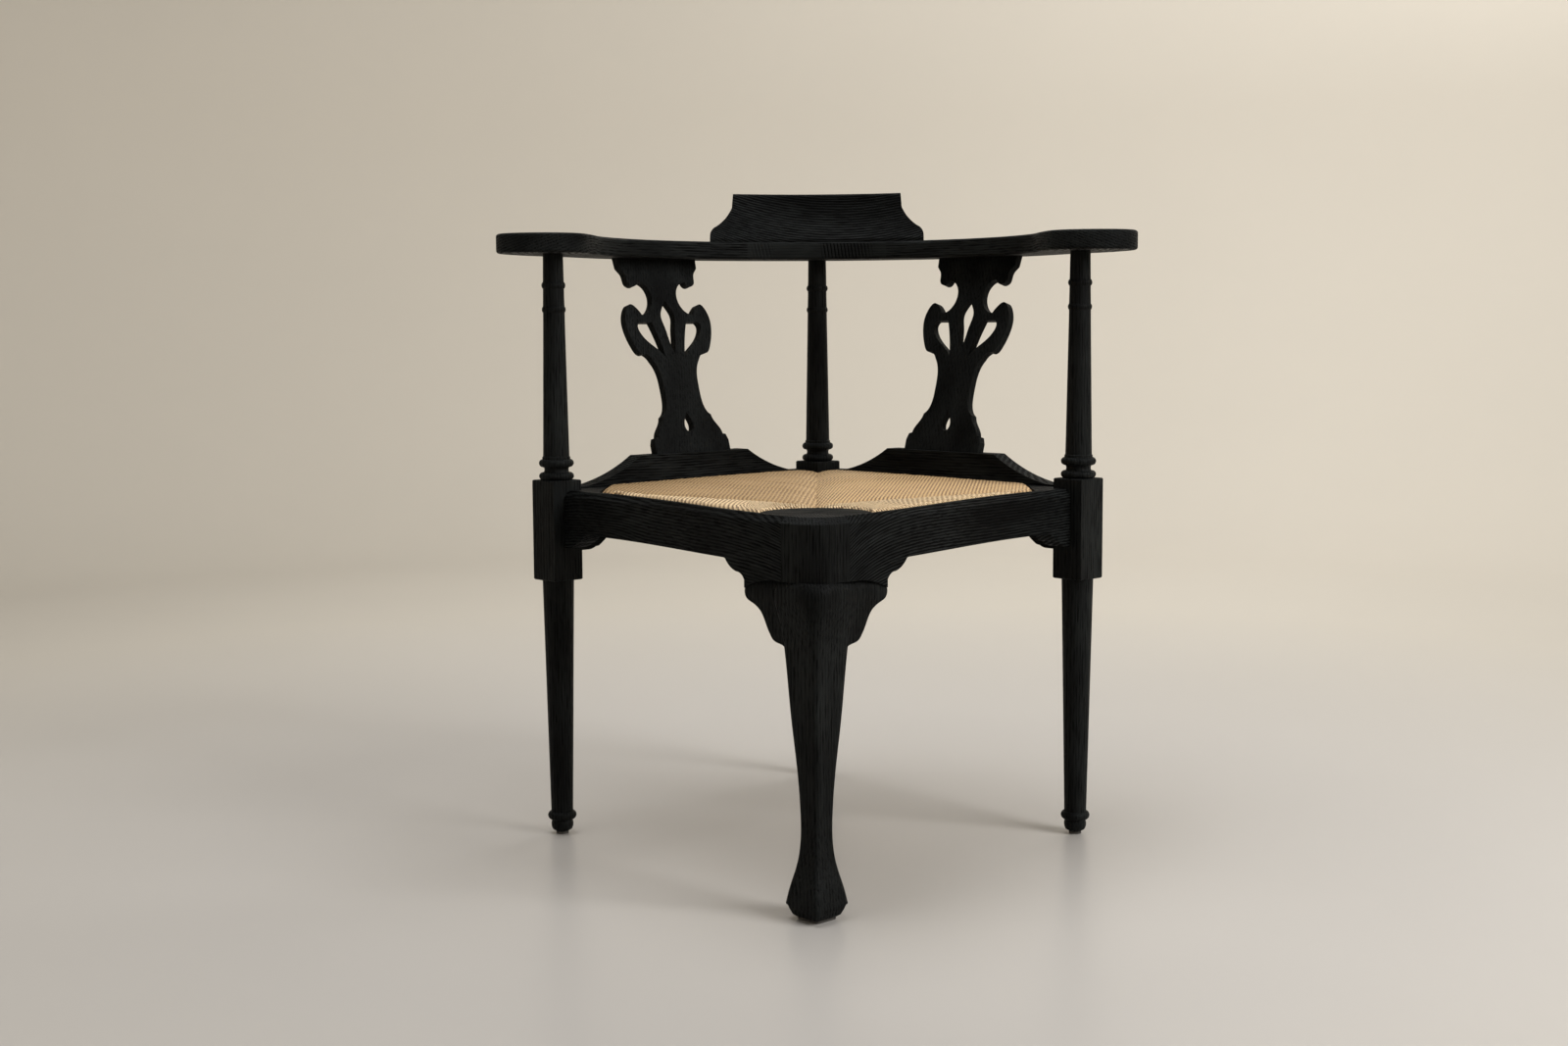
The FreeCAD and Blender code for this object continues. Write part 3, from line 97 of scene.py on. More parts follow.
def setRoom(settings):
    # even light from all round, as plain as white walls give
    scene.view_settings.view_transform = "Standard"
    scene.world = bpy.data.worlds.new("room")
    scene.world.use_nodes = True
    glow = scene.world.node_tree.nodes["Background"]
    glow.inputs["Color"].default_value = settings["colour"]
    glow.inputs["Strength"].default_value = settings["strength"]


setCamera(camera)
for lampName, lampSettings in lamps.items():
    setLamp(lampName, lampSettings)
setRoom(room)
print("camera and", len(lamps), "lamps set")


# a value on its way through a material's nodes: each sum on it adds a Math node
class Tap:

    def __init__(self, paint, socket):
        self.paint = paint
        self.socket = socket

    def sum(self, operation, *others):
        made = self.paint.make("ShaderNodeMath", {"operation": operation},
                               dict(enumerate((self,) + others)))
        return Tap(self.paint, made.outputs[0])

    def __add__(self, other):
        return self.sum("ADD", other)

    def __sub__(self, other):
        return self.sum("SUBTRACT", other)

    def __mul__(self, other):
        return self.sum("MULTIPLY", other)

    def __truediv__(self, other):
        return self.sum("DIVIDE", other)

    def __radd__(self, other):
        return self + other

    def __rmul__(self, other):
        return self * other

    def __rsub__(self, other):
        return self * -1 + other

    def clamp(self, low=0.0, high=1.0):
        return self.sum("MAXIMUM", low).sum("MINIMUM", high)

    # 0 below low, 1 above high and straight between them
    def step(self, low, high):
        return ((self - low) / (high - low)).clamp()

    # for a value that runs from 0 to 1: 1 round its middle, falling to 0 between low and high,
    # which count from 0 at the middle to 1 at both ends
    def hump(self, low, high):
        return 1 - ((self - 0.5).sum("ABSOLUTE") * 2).step(low, high)


# one material and its nodes
class Paint:

    def __init__(self, name):
        self.material = bpy.data.materials.new(name)
        self.material.use_nodes = True
        self.tree = self.material.node_tree
        self.shader = self.tree.nodes["Principled BSDF"]
        self.spot = None

    def make(self, kind, settings=None, values=None):
        node = self.tree.nodes.new(kind)
        for key, value in (settings or {}).items():
            setattr(node, key, value)
        for key, value in (values or {}).items():
            self.feed(node.inputs[key], value)
        return node

    def feed(self, socket, value):
        if isinstance(value, Tap):
            self.tree.links.new(value.socket, socket)
        elif isinstance(value, bpy.types.NodeSocket):
            self.tree.links.new(value, socket)
        else:
            socket.default_value = value

    def split(self, vector):
        made = self.make("ShaderNodeSeparateXYZ", values={0: vector})
        return [Tap(self, made.outputs[i]) for i in range(3)]

    # Object coordinates as three values, in metres
    def place(self):
        if self.spot is None:
            self.spot = self.split(self.make("ShaderNodeTexCoord").outputs["Object"])
        return self.spot

    def vector(self, x, y, z):
        return self.make("ShaderNodeCombineXYZ", values={0: x, 1: y, 2: z}).outputs[0]

    def noise(self, where, detail, rough=0.5):
        made = self.make("ShaderNodeTexNoise", {"noise_dimensions": "3D"},
                         {"Vector": where, "Scale": 1.0, "Detail": detail, "Roughness": rough,
                          "Distortion": 0.0})
        return Tap(self, made.outputs["Fac"])

    # noise over Object coordinates, with so many waves per metre along X, Y and Z
    def grain(self, scale, detail):
        where = [value * waves for value, waves in zip(self.place(), scale)]
        return self.noise(self.vector(*where), detail)

    def mix(self, share, first, second, kind="MIX"):
        made = self.make("ShaderNodeMix", {"data_type": "RGBA", "blend_type": kind},
                         {0: share, 6: first, 7: second})
        return made.outputs[2]

    def bump(self, height, strength, distance):
        values = {"Height": height, "Strength": strength, "Distance": distance}
        return self.make("ShaderNodeBump", values=values).outputs["Normal"]

    def finish(self, colour, roughness, normal=None):
        self.feed(self.shader.inputs["Base Color"], colour)
        self.feed(self.shader.inputs["Roughness"], roughness)
        if normal is not None:
            self.feed(self.shader.inputs["Normal"], normal)
        return self.material


oak = {
    # what every board has unless its own row says otherwise; lengths in metres
    "pore": (0.0006, 0.0006, 0.0006, 1),
    "ridge": (0.0178, 0.0198, 0.0193, 1),
    "tone": 1.0,                  # how light the ridges are stained
    "sheen": 0.46,                # roughness of the ridges
    "gloss": 0.045,               # specular level: a dry, open-pored finish
    "cant": 0.35,                 # how far the rings lean across the board
    "lines": 1.0,                 # how dark a ring's line is
    "ringWidth": 0.0034,
    "ringEdges": (0.12, 0.80),    # where the dark line fades, from a ring's middle to its ends
    "driftScale": (3, 8),         # waves per metre that bend the rings, along and across
    "poreLength": 0.025,
    "poreWidth": 0.0015,
    "poreDetail": (1.5, 0.55),
    "poreEdges": (0.47, 0.60),
    "poreDark": (0.55, 0.6, 0.40),    # a line by itself, what its pores add, pores elsewhere
    "cloudScale": (7, 26),        # patches per metre, along and across
    "cloudEdges": (0.28, 0.72),
    "cloudTone": (0.15, 0.85),    # ridges in the darkest patch, and what the palest adds
    "fibreScale": (30, 1400),
    "fibreTone": 0.2,
    "rougher": (0.3, 0.14),       # pores against ridges, and from patch to patch
    "bump": (0.25, 0.7, 0.0007),  # share of the fibres, strength and depth
    "bow": None,                  # rise per metre squared of crowned rings, and their middle
    "sweep": None,                # how far rings run down at the corner post
    "postAt": -0.223,             # the post's place along a front rail
    "sweepReach": 0.05,
    "strokes": None,              # end grain showing on an upright face
}
armStrokes = {
    "pitch": 0.0052,              # metres from stroke to stroke
    "lean": 0.22,                 # how far they lean along the arm as they rise
    "drift": 4,
    "edges": (0.25, 0.50),        # where a stroke fades, from its middle
    "upright": (0.3, 0.6),        # |normal's Z| where the strokes end
    "patchFrom": (0.004, 0.012),  # along the arm
    "patchTo": (0.066, 0.090),
    "scatterScale": 18,
    "scatterEdges": (0.55, 0.62),
    "scatter": 0.4,
    "cover": 0.7,                 # how much of the long grain they hide
}
boards = {
    # grain, its turn about Z in degrees or its radius, and how much the rings drift
    "upright": {"grain": "up", "cant": 0.15, "drift": 2.0, "lines": 0.5, "gloss": 0.07,
                "tone": 0.8,
                "nodes": ["left_leg", "right_leg", "rear_leg", "front_leg",
                          "knee_bracket_left", "knee_bracket_right"]},
    "splat": {"grain": "up", "cant": 0.15, "drift": 1.5, "lines": 0.4, "tone": 0.8,
              "nodes": ["splat_left", "splat_right"]},
    "arm": {"grain": "round", "radius": 0.304, "drift": 7, "lines": 0.65,
            "nodes": ["arm_left", "arm_right"]},
    "arm_middle": {"grain": "round", "radius": 0.304, "drift": 5, "lines": 0.65,
                   "strokes": armStrokes, "nodes": ["arm_centre"]},
    "crest": {"grain": "round", "radius": 0.290, "bow": (-1.1, 0.03), "cant": 0.0,
              "lines": 1.5, "drift": 1.5, "nodes": ["crest"]},
    "front_right": {"grain": "level", "turn": 50, "sweep": 0.034, "lines": 1.6, "drift": 3,
                    "nodes": ["front_rail_right"]},
    "front_left": {"grain": "level", "turn": 130, "sweep": 0.016, "lines": 1.2, "drift": 13,
                   "nodes": ["front_rail_left"]},
    "back_right": {"grain": "level", "turn": 135, "drift": 6,
                   "nodes": ["back_rail_right", "shoe_right", "side_block_right"]},
    "back_left": {"grain": "level", "turn": 45, "drift": 6,
                  "nodes": ["back_rail_left", "shoe_left", "side_block_left"]},
    "front_block": {"grain": "level", "turn": 0, "drift": 6, "nodes": ["front_corner_block"]},
}


def grainLines(paint, wood):
    # distance along the grain, across it and through the rings: "up" follows Z, "level" a line
    # turned about Z, and "round" an arc about the chair's middle, along = angle * radius
    x, y, z = paint.place()
    if wood["grain"] == "up":
        return z, y, x
    if wood["grain"] == "level":
        turn = math.radians(wood["turn"])
        along = x * math.cos(turn) + y * math.sin(turn)
        across = y * math.cos(turn) - x * math.sin(turn)
    else:
        y = y - planShift
        along = x.sum("ARCTAN2", y) * wood["radius"]
        across = (x * x + y * y).sum("SQRT")
    through = z
    if wood["bow"]:
        # through rises by rise * (distance from the middle) squared
        rise, middle = wood["bow"]
        through = through + (along - middle) * (along - middle) * rise
    if wood["sweep"]:
        # rings run down to the post: sweep * exp(-(distance from the post) / reach)
        nearPost = ((along - wood["postAt"]) / -wood["sweepReach"]).sum("EXPONENT")
        through = through + nearPost * wood["sweep"]
    return along, across, through


def endGrain(paint, strokes, along, through, drift, dark):
    # on an upright face the long grain gives way to short strokes, once per pitch along the arm,
    # in one patch and thinly scattered elsewhere: dark * (1 - cover) + stroke * patch
    facing = paint.make("ShaderNodeNewGeometry").outputs["Normal"]
    upright = 1 - paint.split(facing)[2].sum("ABSOLUTE").step(*strokes["upright"])
    place = (along + through * strokes["lean"]) / strokes["pitch"] + drift * strokes["drift"]
    stroke = place.sum("FRACT").hump(*strokes["edges"])
    patch = along.step(*strokes["patchFrom"]) * (1 - along.step(*strokes["patchTo"]))
    scatter = paint.noise(paint.vector(along * strokes["scatterScale"], 0.0, 4.0), 1.0)
    patch = patch + scatter.step(*strokes["scatterEdges"]) * strokes["scatter"]
    return (dark * (1 - upright * strokes["cover"]) + stroke * patch * upright).clamp()


def ebonisedOak(name, board):
    # black oak: early wood is one dark line per ring, where the pores open as short dashes, and
    # late wood a greyer ridge: dark = line * (plain + dash) + a few dashes elsewhere, and
    # tone = (1 - dark) * patch + fibre
    wood = {**oak, **board}
    paint = Paint("ebonised_oak_" + name)
    along, across, through = grainLines(paint, wood)

    def noise(scale, detail, rough=0.5):
        lengthwise, sideways = scale
        where = paint.vector(along * lengthwise, across * sideways, through * sideways)
        return paint.noise(where, detail, rough)

    drift = noise(wood["driftScale"], 2.0) - 0.5
    layer = (through + across * wood["cant"]) / wood["ringWidth"] + drift * wood["drift"]
    line = layer.sum("FRACT").hump(*wood["ringEdges"])
    dash = noise((1 / wood["poreLength"], 1 / wood["poreWidth"]), *wood["poreDetail"])
    dash = dash.step(*wood["poreEdges"])
    plain, inLine, elsewhere = wood["poreDark"]
    dark = (line * (dash * inLine + plain) * wood["lines"] + dash * elsewhere).clamp()
    if wood["strokes"]:
        dark = endGrain(paint, wood["strokes"], along, through, drift, dark)
    fibre = noise(wood["fibreScale"], 2.0)
    cloud = noise(wood["cloudScale"], 3.0)
    darkest, paler = wood["cloudTone"]
    patch = cloud.step(*wood["cloudEdges"]) * paler + darkest
    tone = ((1 - dark) * patch + (fibre - 0.5) * wood["fibreTone"]).clamp() * wood["tone"]
    inPores, byPatch = wood["rougher"]
    roughness = (wood["sheen"] + dark * inPores + (cloud - 0.5) * byPatch).clamp(0.2, 0.9)
    fibreShare, strength, depth = wood["bump"]
    paint.shader.inputs["Specular IOR Level"].default_value = wood["gloss"]
    return paint.finish(paint.mix(tone, wood["pore"], wood["ridge"]), roughness,
                        paint.bump(fibre * fibreShare - dark, strength, depth))


rawOak = {
    "early": (0.24, 0.145, 0.075, 1),
    "late": (0.46, 0.31, 0.18, 1),
    "cloudScale": (9, 9, 60),
    "fibreScale": (60, 60, 1400),
    "roughness": 0.55,
    "grainDepth": 0.0004,
    "nodes": ["seat_frame_front_left", "seat_frame_front_right", "seat_frame_back_left",
              "seat_frame_back_right", "rear_corner_block", "seat_cleat_left",
              "seat_cleat_right"],
}


def unstainedOak(wood):
    # colour = 0.7 cloud + 0.3 fibre, both drawn out level
    paint = Paint("plain_oak")
    cloud = paint.grain(wood["cloudScale"], 3.0)
    fibre = paint.grain(wood["fibreScale"], 2.0)
    colour = paint.mix((cloud * 0.7 + fibre * 0.3).clamp(), wood["early"], wood["late"])
    roughness = (wood["roughness"] + (fibre - 0.5) * 0.3).clamp(0.3, 0.9)
    return paint.finish(colour, roughness, paint.bump(fibre, 0.3, wood["grainDepth"]))


screws = {
    "dull": (0.30, 0.29, 0.27, 1),
    "bright": (0.50, 0.49, 0.46, 1),
    "scratchScale": (900, 900, 90),
    "roughness": 0.30,
    "nodes": ["cleat_screws", "crest_screws"],
}


def brushedSteel(steel):
    # roughness = least + 0.25 scratch, with fine scratches drawn out along Z
    paint = Paint("plain_steel")
    scratch = paint.grain(steel["scratchScale"], 3.0)
    paint.shader.inputs["Metallic"].default_value = 1.0
    return paint.finish(paint.mix(scratch, steel["dull"], steel["bright"]),
                        (steel["roughness"] + scratch * 0.25).clamp(0.2, 0.8))


footPads = {
    # felt coloured near black as painted shade: it stands for the shade under the feet
    "dark": (0.030, 0.027, 0.024, 1),
    "pale": (0.085, 0.078, 0.070, 1),
    "fuzzScale": (1800, 1800, 1800),
    "fuzzDepth": 0.0004,
    "nodes": ["foot_glides", "front_foot_pad"],
}


def paintedShadeFelt(felt):
    # colour, roughness and bump all follow one fine noise
    paint = Paint("foot_felt_painted_shade")
    fuzz = paint.grain(felt["fuzzScale"], 4.0)
    # its near-black colours are painted shade under the feet
    return paint.finish(paint.mix(fuzz, felt["dark"], felt["pale"]),
                        (0.75 + fuzz * 0.2).clamp(0.5, 1.0),
                        paint.bump(fuzz, 0.5, felt["fuzzDepth"]))


def dress(names, material):
    # a CAD node keeps its mesh and gets one material
    for name in names:
        slots = nodes[name].data.materials
        slots.clear()
        slots.append(material)


dress(rawOak["nodes"], unstainedOak(rawOak))
dress(screws["nodes"], brushedSteel(screws))
dress(footPads["nodes"], paintedShadeFelt(footPads))
for boardName, boardSettings in boards.items():
    dress(boardSettings["nodes"], ebonisedOak(boardName, boardSettings))
print("wood, screws and pads finished:", len(boards) + 3, "materials")


backdrop = {
    "floorRings": (0.6, 1.6),     # metres, as all lengths here
    "wallAt": 4.2,
    "height": 3.2,
    "sweep": 1.3,                 # radius of the turn from floor to wall
    "sweepSteps": 20,
    "steps": 96,
    "floorFades": (0.7, 2.0),     # where the floor's colour turns into the wall's
    "floorColour": (0.50, 0.475, 0.445, 1),
    "wallColour": (0.60, 0.555, 0.48, 1),
    "gloss": 0.3,
    "cloudScale": (1.6, 1.6, 1.6),
    "cloudDark": (0.95, 0.95, 0.95, 1),
    "cloudPale": (1.0, 1.0, 1.0, 1),
    "floorRoughness": 0.32,
    "wallRougher": 0.5,
    "cloudRougher": 0.08,
}


def backdropPaint(settings):
    # colour = (floor's to wall's with distance from the chair) * cloud
    paint = Paint("backdrop_paint")
    x, y, _ = paint.place()
    cloud = paint.grain(settings["cloudScale"], 4.0)
    away = (x * x + y * y).sum("SQRT").step(*settings["floorFades"])
    colour = paint.mix(away, settings["floorColour"], settings["wallColour"])
    soft = paint.mix(cloud, settings["cloudDark"], settings["cloudPale"])
    roughness = settings["floorRoughness"] + away * settings["wallRougher"]
    paint.shader.inputs["Specular IOR Level"].default_value = settings["gloss"]
    return paint.finish(paint.mix(1.0, colour, soft, "MULTIPLY"),
                        roughness + (cloud - 0.5) * settings["cloudRougher"])


def makeBackdrop(settings):
    # round floor that turns up through a quarter circle into a wall all round: a profile of
    # radius and height, turned about Z
    turn = np.linspace(0, math.pi / 2, settings["sweepSteps"])
    sweep, wallAt = settings["sweep"], settings["wallAt"]
    radius = np.concatenate([settings["floorRings"], wallAt - sweep + sweep * np.sin(turn),
                             [wallAt]])
    height = np.concatenate([[0.0, 0.0], sweep - sweep * np.cos(turn), [settings["height"]]])
    steps, levels = settings["steps"], len(radius)
    angle = np.arange(steps) * 2 * math.pi / steps
    points = np.stack([np.outer(radius, np.cos(angle)), np.outer(radius, np.sin(angle)),
                       np.outer(height, np.ones(steps))], -1).reshape(-1, 3)
    index = np.arange(levels * steps).reshape(levels, steps)
    lower, upper = index[:-1], index[1:]
    quads = np.stack([lower, upper, np.roll(upper, -1, 1), np.roll(lower, -1, 1)], -1)
    faces = quads.reshape(-1, 4).tolist() + [index[0].tolist()]
    mesh = bpy.data.meshes.new("backdrop")
    mesh.from_pydata(points.tolist(), [], faces)
    mesh.polygons.foreach_set("use_smooth", [True] * len(faces))
    mesh.materials.append(backdropPaint(settings))
    sheet = bpy.data.objects.new("backdrop", mesh)
    scene.collection.objects.link(sheet)


makeBackdrop(backdrop)
print("backdrop stands")


rush = {
    # plan and heights in millimetres, in the chair's own plan; the right half is worked out and
    # the left half mirrored
    "cordWidth": 3.1,             # also the pitch along the edge
    "cordSides": 6,
    "top": 428.6,                 # highest point of the weave
    "bottom": 402.6,
    "crown": (1.8, (60, 110), (60, 190)),    # height, then middle and width along x and y
    "edgeRoll": 7.0,              # radius of the weave's turn over the frame's top edge
    "underRoll": 4.0,
    "underRise": 0.6,
    "rearValley": (5.0, 13.0),    # depth and half width of the seam between the back panels
    "frontValley": (1.6, 8.0),    # the same for the seams beside the front strips
    "valleyPower": 1.4,           # 1 is a sharp fold, 2 a rounded one
    "tip": 257.0,                 # the seat's side corner
    "seamTip": (256.0, -43.0),
    "seamFront": (0.0, -222.0),
    "pastSeamTip": 4,             # the side edge's cords go this far past the seam's end
    "backLine": 308.9,            # |x| + y of the weave's back edges
    "rearTip": 7.0,               # |x| where the back edge's cords start
    "frontPoles": ((293.787, -8.485), (177.74, -99.15), (124.28, -234.92), (26.10, -333.10)),
    "hollow": (0.0, -303.0, 60.8),    # centre and radius of the edge round the corner block
    "fan": (0.15, 1.0),           # way that cords near the corner block are drawn towards
    "fanPull": 2.2,
    "fanReach": 42,
    "edgeSteps": {"sweep": 400, "hollow": 60},
    "pastSeam": 2.2,              # how far a cord's end is tucked in beyond its seam
    "shortest": 16,
    "longest": 400,
    "tuck": (5, 0.5, 1.0),        # length of the dip at a seam, its depth above and below
    "unevenHeight": 0.16,
    "unevenWay": (0.10, 0.18, 23),    # offset, wave and wave's length / 2 pi
    "unevenWidth": (0.98, 0.04),      # share of the cord's width, and its spread
    "unevenTwist": 0.35,
    "seeds": {"back": 3, "front": 5},
    "steps": {"under": 16, "lowTurn": 5, "topTurn": 7, "over": 26},
    "twist": 0.150,               # plies passed per millimetre of cord
    "lay": 51,                    # degrees from a cord to the way across its plies
    "coreInset": 2.9,             # how far the closed core lies under the cords' outside
    "coreDrawIn": 1.3,            # its edge lies this many insets inside the outline
    "coreMiddle": (0.0, 10.0),
    "coreRollSteps": 6,
    "coreSteps": (14, 24, 40, 60, 85),    # inward distances after the rolled edge
    "coreShares": (0.45, 0.3, 0.15),      # and then shares of the way to the edge
}
straws = {
    # pale and tan of one ply; the front strips' straw is paler than the back panels' as painted
    # light
    "rush_cord_back": ((0.70, 0.475, 0.24, 1), (0.48, 0.31, 0.145, 1)),
    "rush_cord_front_painted_light": ((0.84, 0.64, 0.385, 1), (0.64, 0.45, 0.24, 1)),
    # the core's dark browns are painted shade: they darken the gaps between the cords, where
    # shade falls
    "rush_core_painted_shade": ((0.16, 0.10, 0.05, 1), (0.07, 0.042, 0.02, 1)),
}
cordLook = {
    # dark brown painted into the grooves between the plies: painted shade
    "grooveShade": (0.10, 0.050, 0.018, 1),
    "grooveEdges": (0.08, 0.72),      # from a groove's middle to a ply's
    "strandScale": (400, 9, 30),      # along the cord, round it and across the seat
    "patchScale": (22, 22, 22),
    "patchEdges": (0.35, 0.6),
    "fleckScale": (230, 230, 230),
    "fleckEdges": (0.58, 0.75),
    "base": (0.7, 0.8, 0.15),         # pale from the strands, from the patches and everywhere
    "grooveShadeDepth": (0.6, 0.4, 0.95),   # everywhere, more in patches, and all of it
    "fleckDark": 0.2,
    "roughness": (0.62, 0.3),         # and its spread from strand to strand
    "bump": (0.75, 0.25, 0.9, 0.0011),    # plies, strands, strength and depth
}


def frontSweep(share):
    # plan of the seat's front edge: a cubic Bezier curve from the side leg to the corner post
    poles = np.array(rush["frontPoles"])
    t = share[:, None]
    return ((1 - t) ** 3 * poles[0] + 3 * (1 - t) ** 2 * t * poles[1]
            + 3 * (1 - t) * t ** 2 * poles[2] + t ** 3 * poles[3])


def evenly(points, pitch):
    # points spaced evenly along a line of points, and the line's way at each, from 1 mm behind
    # it to 1 mm ahead
    steps = np.linalg.norm(np.diff(points, axis=0), axis=1)
    run = np.concatenate([[0], np.cumsum(steps)])
    count = max(2, int(round(run[-1] / pitch)))
    marks = (np.arange(count) + 0.5) * run[-1] / count

    def at(lengths):
        return np.stack([np.interp(lengths, run, points[:, i]) for i in range(2)], 1)

    way = at(np.minimum(marks + 1, run[-1])) - at(np.maximum(marks - 1, 0))
    return at(marks), way / np.linalg.norm(way, axis=1)[:, None]


def lineGap(points, first, second):
    # distance of points from a straight line through two others
    way = np.array(second) - np.array(first)
    way = way / np.linalg.norm(way)
    return np.abs((points[..., 0] - first[0]) * way[1] - (points[..., 1] - first[1]) * way[0])


def weaveTop(points):
    # height of the weave: a low bell-shaped crown, less a rounded valley along each seam,
    # depth * exp(-(distance / half width) to the valley's power)
    x, y = np.abs(points[..., 0]), points[..., 1]
    frontGap = lineGap(np.stack([x, y], -1), rush["seamTip"], rush["seamFront"])
    (rearDepth, rearHalf), (frontDepth, frontHalf) = rush["rearValley"], rush["frontValley"]
    crownHeight, (middleX, wideX), (middleY, wideY) = rush["crown"]
    crown = crownHeight * np.exp(-((x - middleX) / wideX) ** 2 - ((y - middleY) / wideY) ** 2)
    power = rush["valleyPower"]
    dip = np.maximum(rearDepth * np.exp(-(x / rearHalf) ** power),
                     frontDepth * np.exp(-(frontGap / frontHalf) ** power))
    return rush["top"] - crownHeight + crown - dip


def meetSeam(starts, ways, first, second):
    # length along each way until it crosses the line through two points
    side = np.array(second) - np.array(first)
    normal = np.array([side[1], -side[0]])
    closing = ways @ normal
    closing = np.where(np.abs(closing) < 1e-6, 1e-6, closing)    # along the line: very far
    return ((np.array(first) - starts) @ normal) / closing


def cordLines(starts, ways, lengths, random):
    # each cord runs under the seat from its seam to the edge, round the edge in two quarter
    # turns, and over the top to its seam again: the inward distance is worked out per cord, and
    # its height above the edge follows the weave's top
    n = len(starts)
    half = rush["cordWidth"] / 2
    low = rush["bottom"] + half
    big, small = rush["edgeRoll"], rush["underRoll"]
    steps = rush["steps"]
    under = np.linspace(1, 0, steps["under"])[None, :]
    lowTurn = np.linspace(0, math.pi / 2, steps["lowTurn"])[None, 1:]
    topTurn = np.linspace(0, math.pi / 2, steps["topTurn"])[None, 1:]
    over = np.linspace(0, 1, steps["over"])[None, 1:]
    reach, ones = lengths[:, None], np.ones((n, 1))
    inward = np.concatenate([half + small + (reach - half - small) * under,
                             ones * (half + small - small * np.sin(lowTurn)),
                             ones * (half + big - big * np.cos(topTurn)),
                             half + big + (reach - half - big) * over], 1)
    spots = starts[:, None, :] + ways[:, None, :] * inward[:, :, None]
    level = weaveTop(spots) - half
    turnStart = under.shape[1] + lowTurn.shape[1]
    topStart = turnStart + topTurn.shape[1]
    height = np.concatenate([
        low + rush["underRise"] * np.sin(under * math.pi) * ones,
        low + small - small * np.cos(lowTurn) * ones,
        level[:, turnStart:topStart] - big + big * np.sin(topTurn) * ones,
        level[:, topStart:]], 1)
    tuckLength, tuckAbove, tuckBelow = rush["tuck"]
    tuck = np.clip((inward - (reach - tuckLength)) / tuckLength, 0, 1) ** 2
    isTop = np.arange(inward.shape[1])[None, :] >= topStart
    height = height - np.where(isTop, tuck * tuckAbove, -tuck * tuckBelow)
    height = height + random.normal(0, rush["unevenHeight"], (n, 1))
    offset, wave, waveLength = rush["unevenWay"]
    sway = random.normal(0, offset, (n, 1))
    sway = sway + wave * np.sin(inward / waveLength + random.uniform(0, 6, (n, 1)))
    sideways = np.stack([-ways[:, 1], ways[:, 0]], 1)
    plan = spots + sideways[:, None, :] * sway[:, :, None]
    return np.concatenate([plan, height[:, :, None]], 2), sideways, spots[:, topStart], topStart


def unit(vectors):
    # each vector divided by its length
    return vectors / np.linalg.norm(vectors, axis=-1, keepdims=True)


def cordTubes(starts, ways, lengths, seed):
    # rings of points round every cord's line, and how many millimetres of cord lie before each;
    # the plies of neighbouring cords line up, because the length at a cord's first top point is
    # counted from a line across the whole panel, at the lay's angle to its cords
    random = np.random.default_rng(seed)
    centre, sideways, onTop, topStart = cordLines(starts, ways, lengths, random)
    n = len(starts)
    along = unit(np.gradient(centre, axis=1))
    level = np.concatenate([sideways, np.zeros((n, 1))], 1)[:, None, :]
    across = level * np.ones((1, centre.shape[1], 1))
    upward = unit(np.cross(across, along))
    sides = rush["cordSides"]
    spin = (np.arange(sides) * 2 * math.pi / sides)[None, None, :, None]
    share, spread = rush["unevenWidth"]
    girth = rush["cordWidth"] / 2 * (share + random.normal(0, spread, (n, 1, 1, 1)))
    ring = centre[:, :, None, :] + girth * (np.cos(spin) * across[:, :, None, :]
                                            + np.sin(spin) * upward[:, :, None, :])
    steps = np.linalg.norm(np.diff(centre, axis=1), axis=2)
    runs = np.concatenate([np.zeros((n, 1)), np.cumsum(steps, 1)], 1)
    lay = math.radians(rush["lay"])
    wayX, wayY = unit(ways.mean(0))
    turned = np.array([wayX * math.cos(lay) + wayY * math.sin(lay),
                       wayY * math.cos(lay) - wayX * math.sin(lay)])
    wanted = onTop @ turned / math.cos(lay) + random.normal(0, rush["unevenTwist"], n)
    return ring, runs + (wanted - runs[:, topStart])[:, None]


def toFrame(points):
    # from millimetres in the chair's own plan to metres in the frame's
    return (points / 1000 + [0, planShift, 0]).tolist()


def tubesToMesh(name, ring, runs):
    # joins the rings of every cord into one mesh, with closed ends and a UV map: metres of cord
    # before a point, and its share of a turn round the cord
    n, levels, sides, _ = ring.shape
    index = np.arange(n * levels * sides).reshape(n, levels, sides)
    here, there = index[:, :-1, :], index[:, 1:, :]
    quads = np.stack([here, np.roll(here, -1, 2), np.roll(there, -1, 2), there], -1)
    ends = [index[:, 0, ::-1], index[:, -1, :]]
    faces = quads.reshape(-1, 4).tolist() + ends[0].tolist() + ends[1].tolist()
    runHere = np.broadcast_to(runs[:, :-1, None], here.shape)
    runThere = np.broadcast_to(runs[:, 1:, None], here.shape)
    turn = np.broadcast_to(np.arange(sides) / sides, here.shape)
    nextTurn = turn + 1 / sides
    corners = np.stack([np.stack([runHere, turn], -1), np.stack([runHere, nextTurn], -1),
                        np.stack([runThere, nextTurn], -1), np.stack([runThere, turn], -1)], -2)
    uv = np.concatenate([corners.reshape(-1, 2), np.zeros((2 * n * sides, 2))]) * [0.001, 1]
    mesh = bpy.data.meshes.new(name)
    mesh.from_pydata(toFrame(ring.reshape(-1, 3)), [], faces)
    layer = mesh.uv_layers.new(name="cord")
    layer.data.foreach_set("uv", uv.astype(np.float32).ravel())
    mesh.polygons.foreach_set("use_smooth", [True] * len(faces))
    mesh.update()
    return mesh


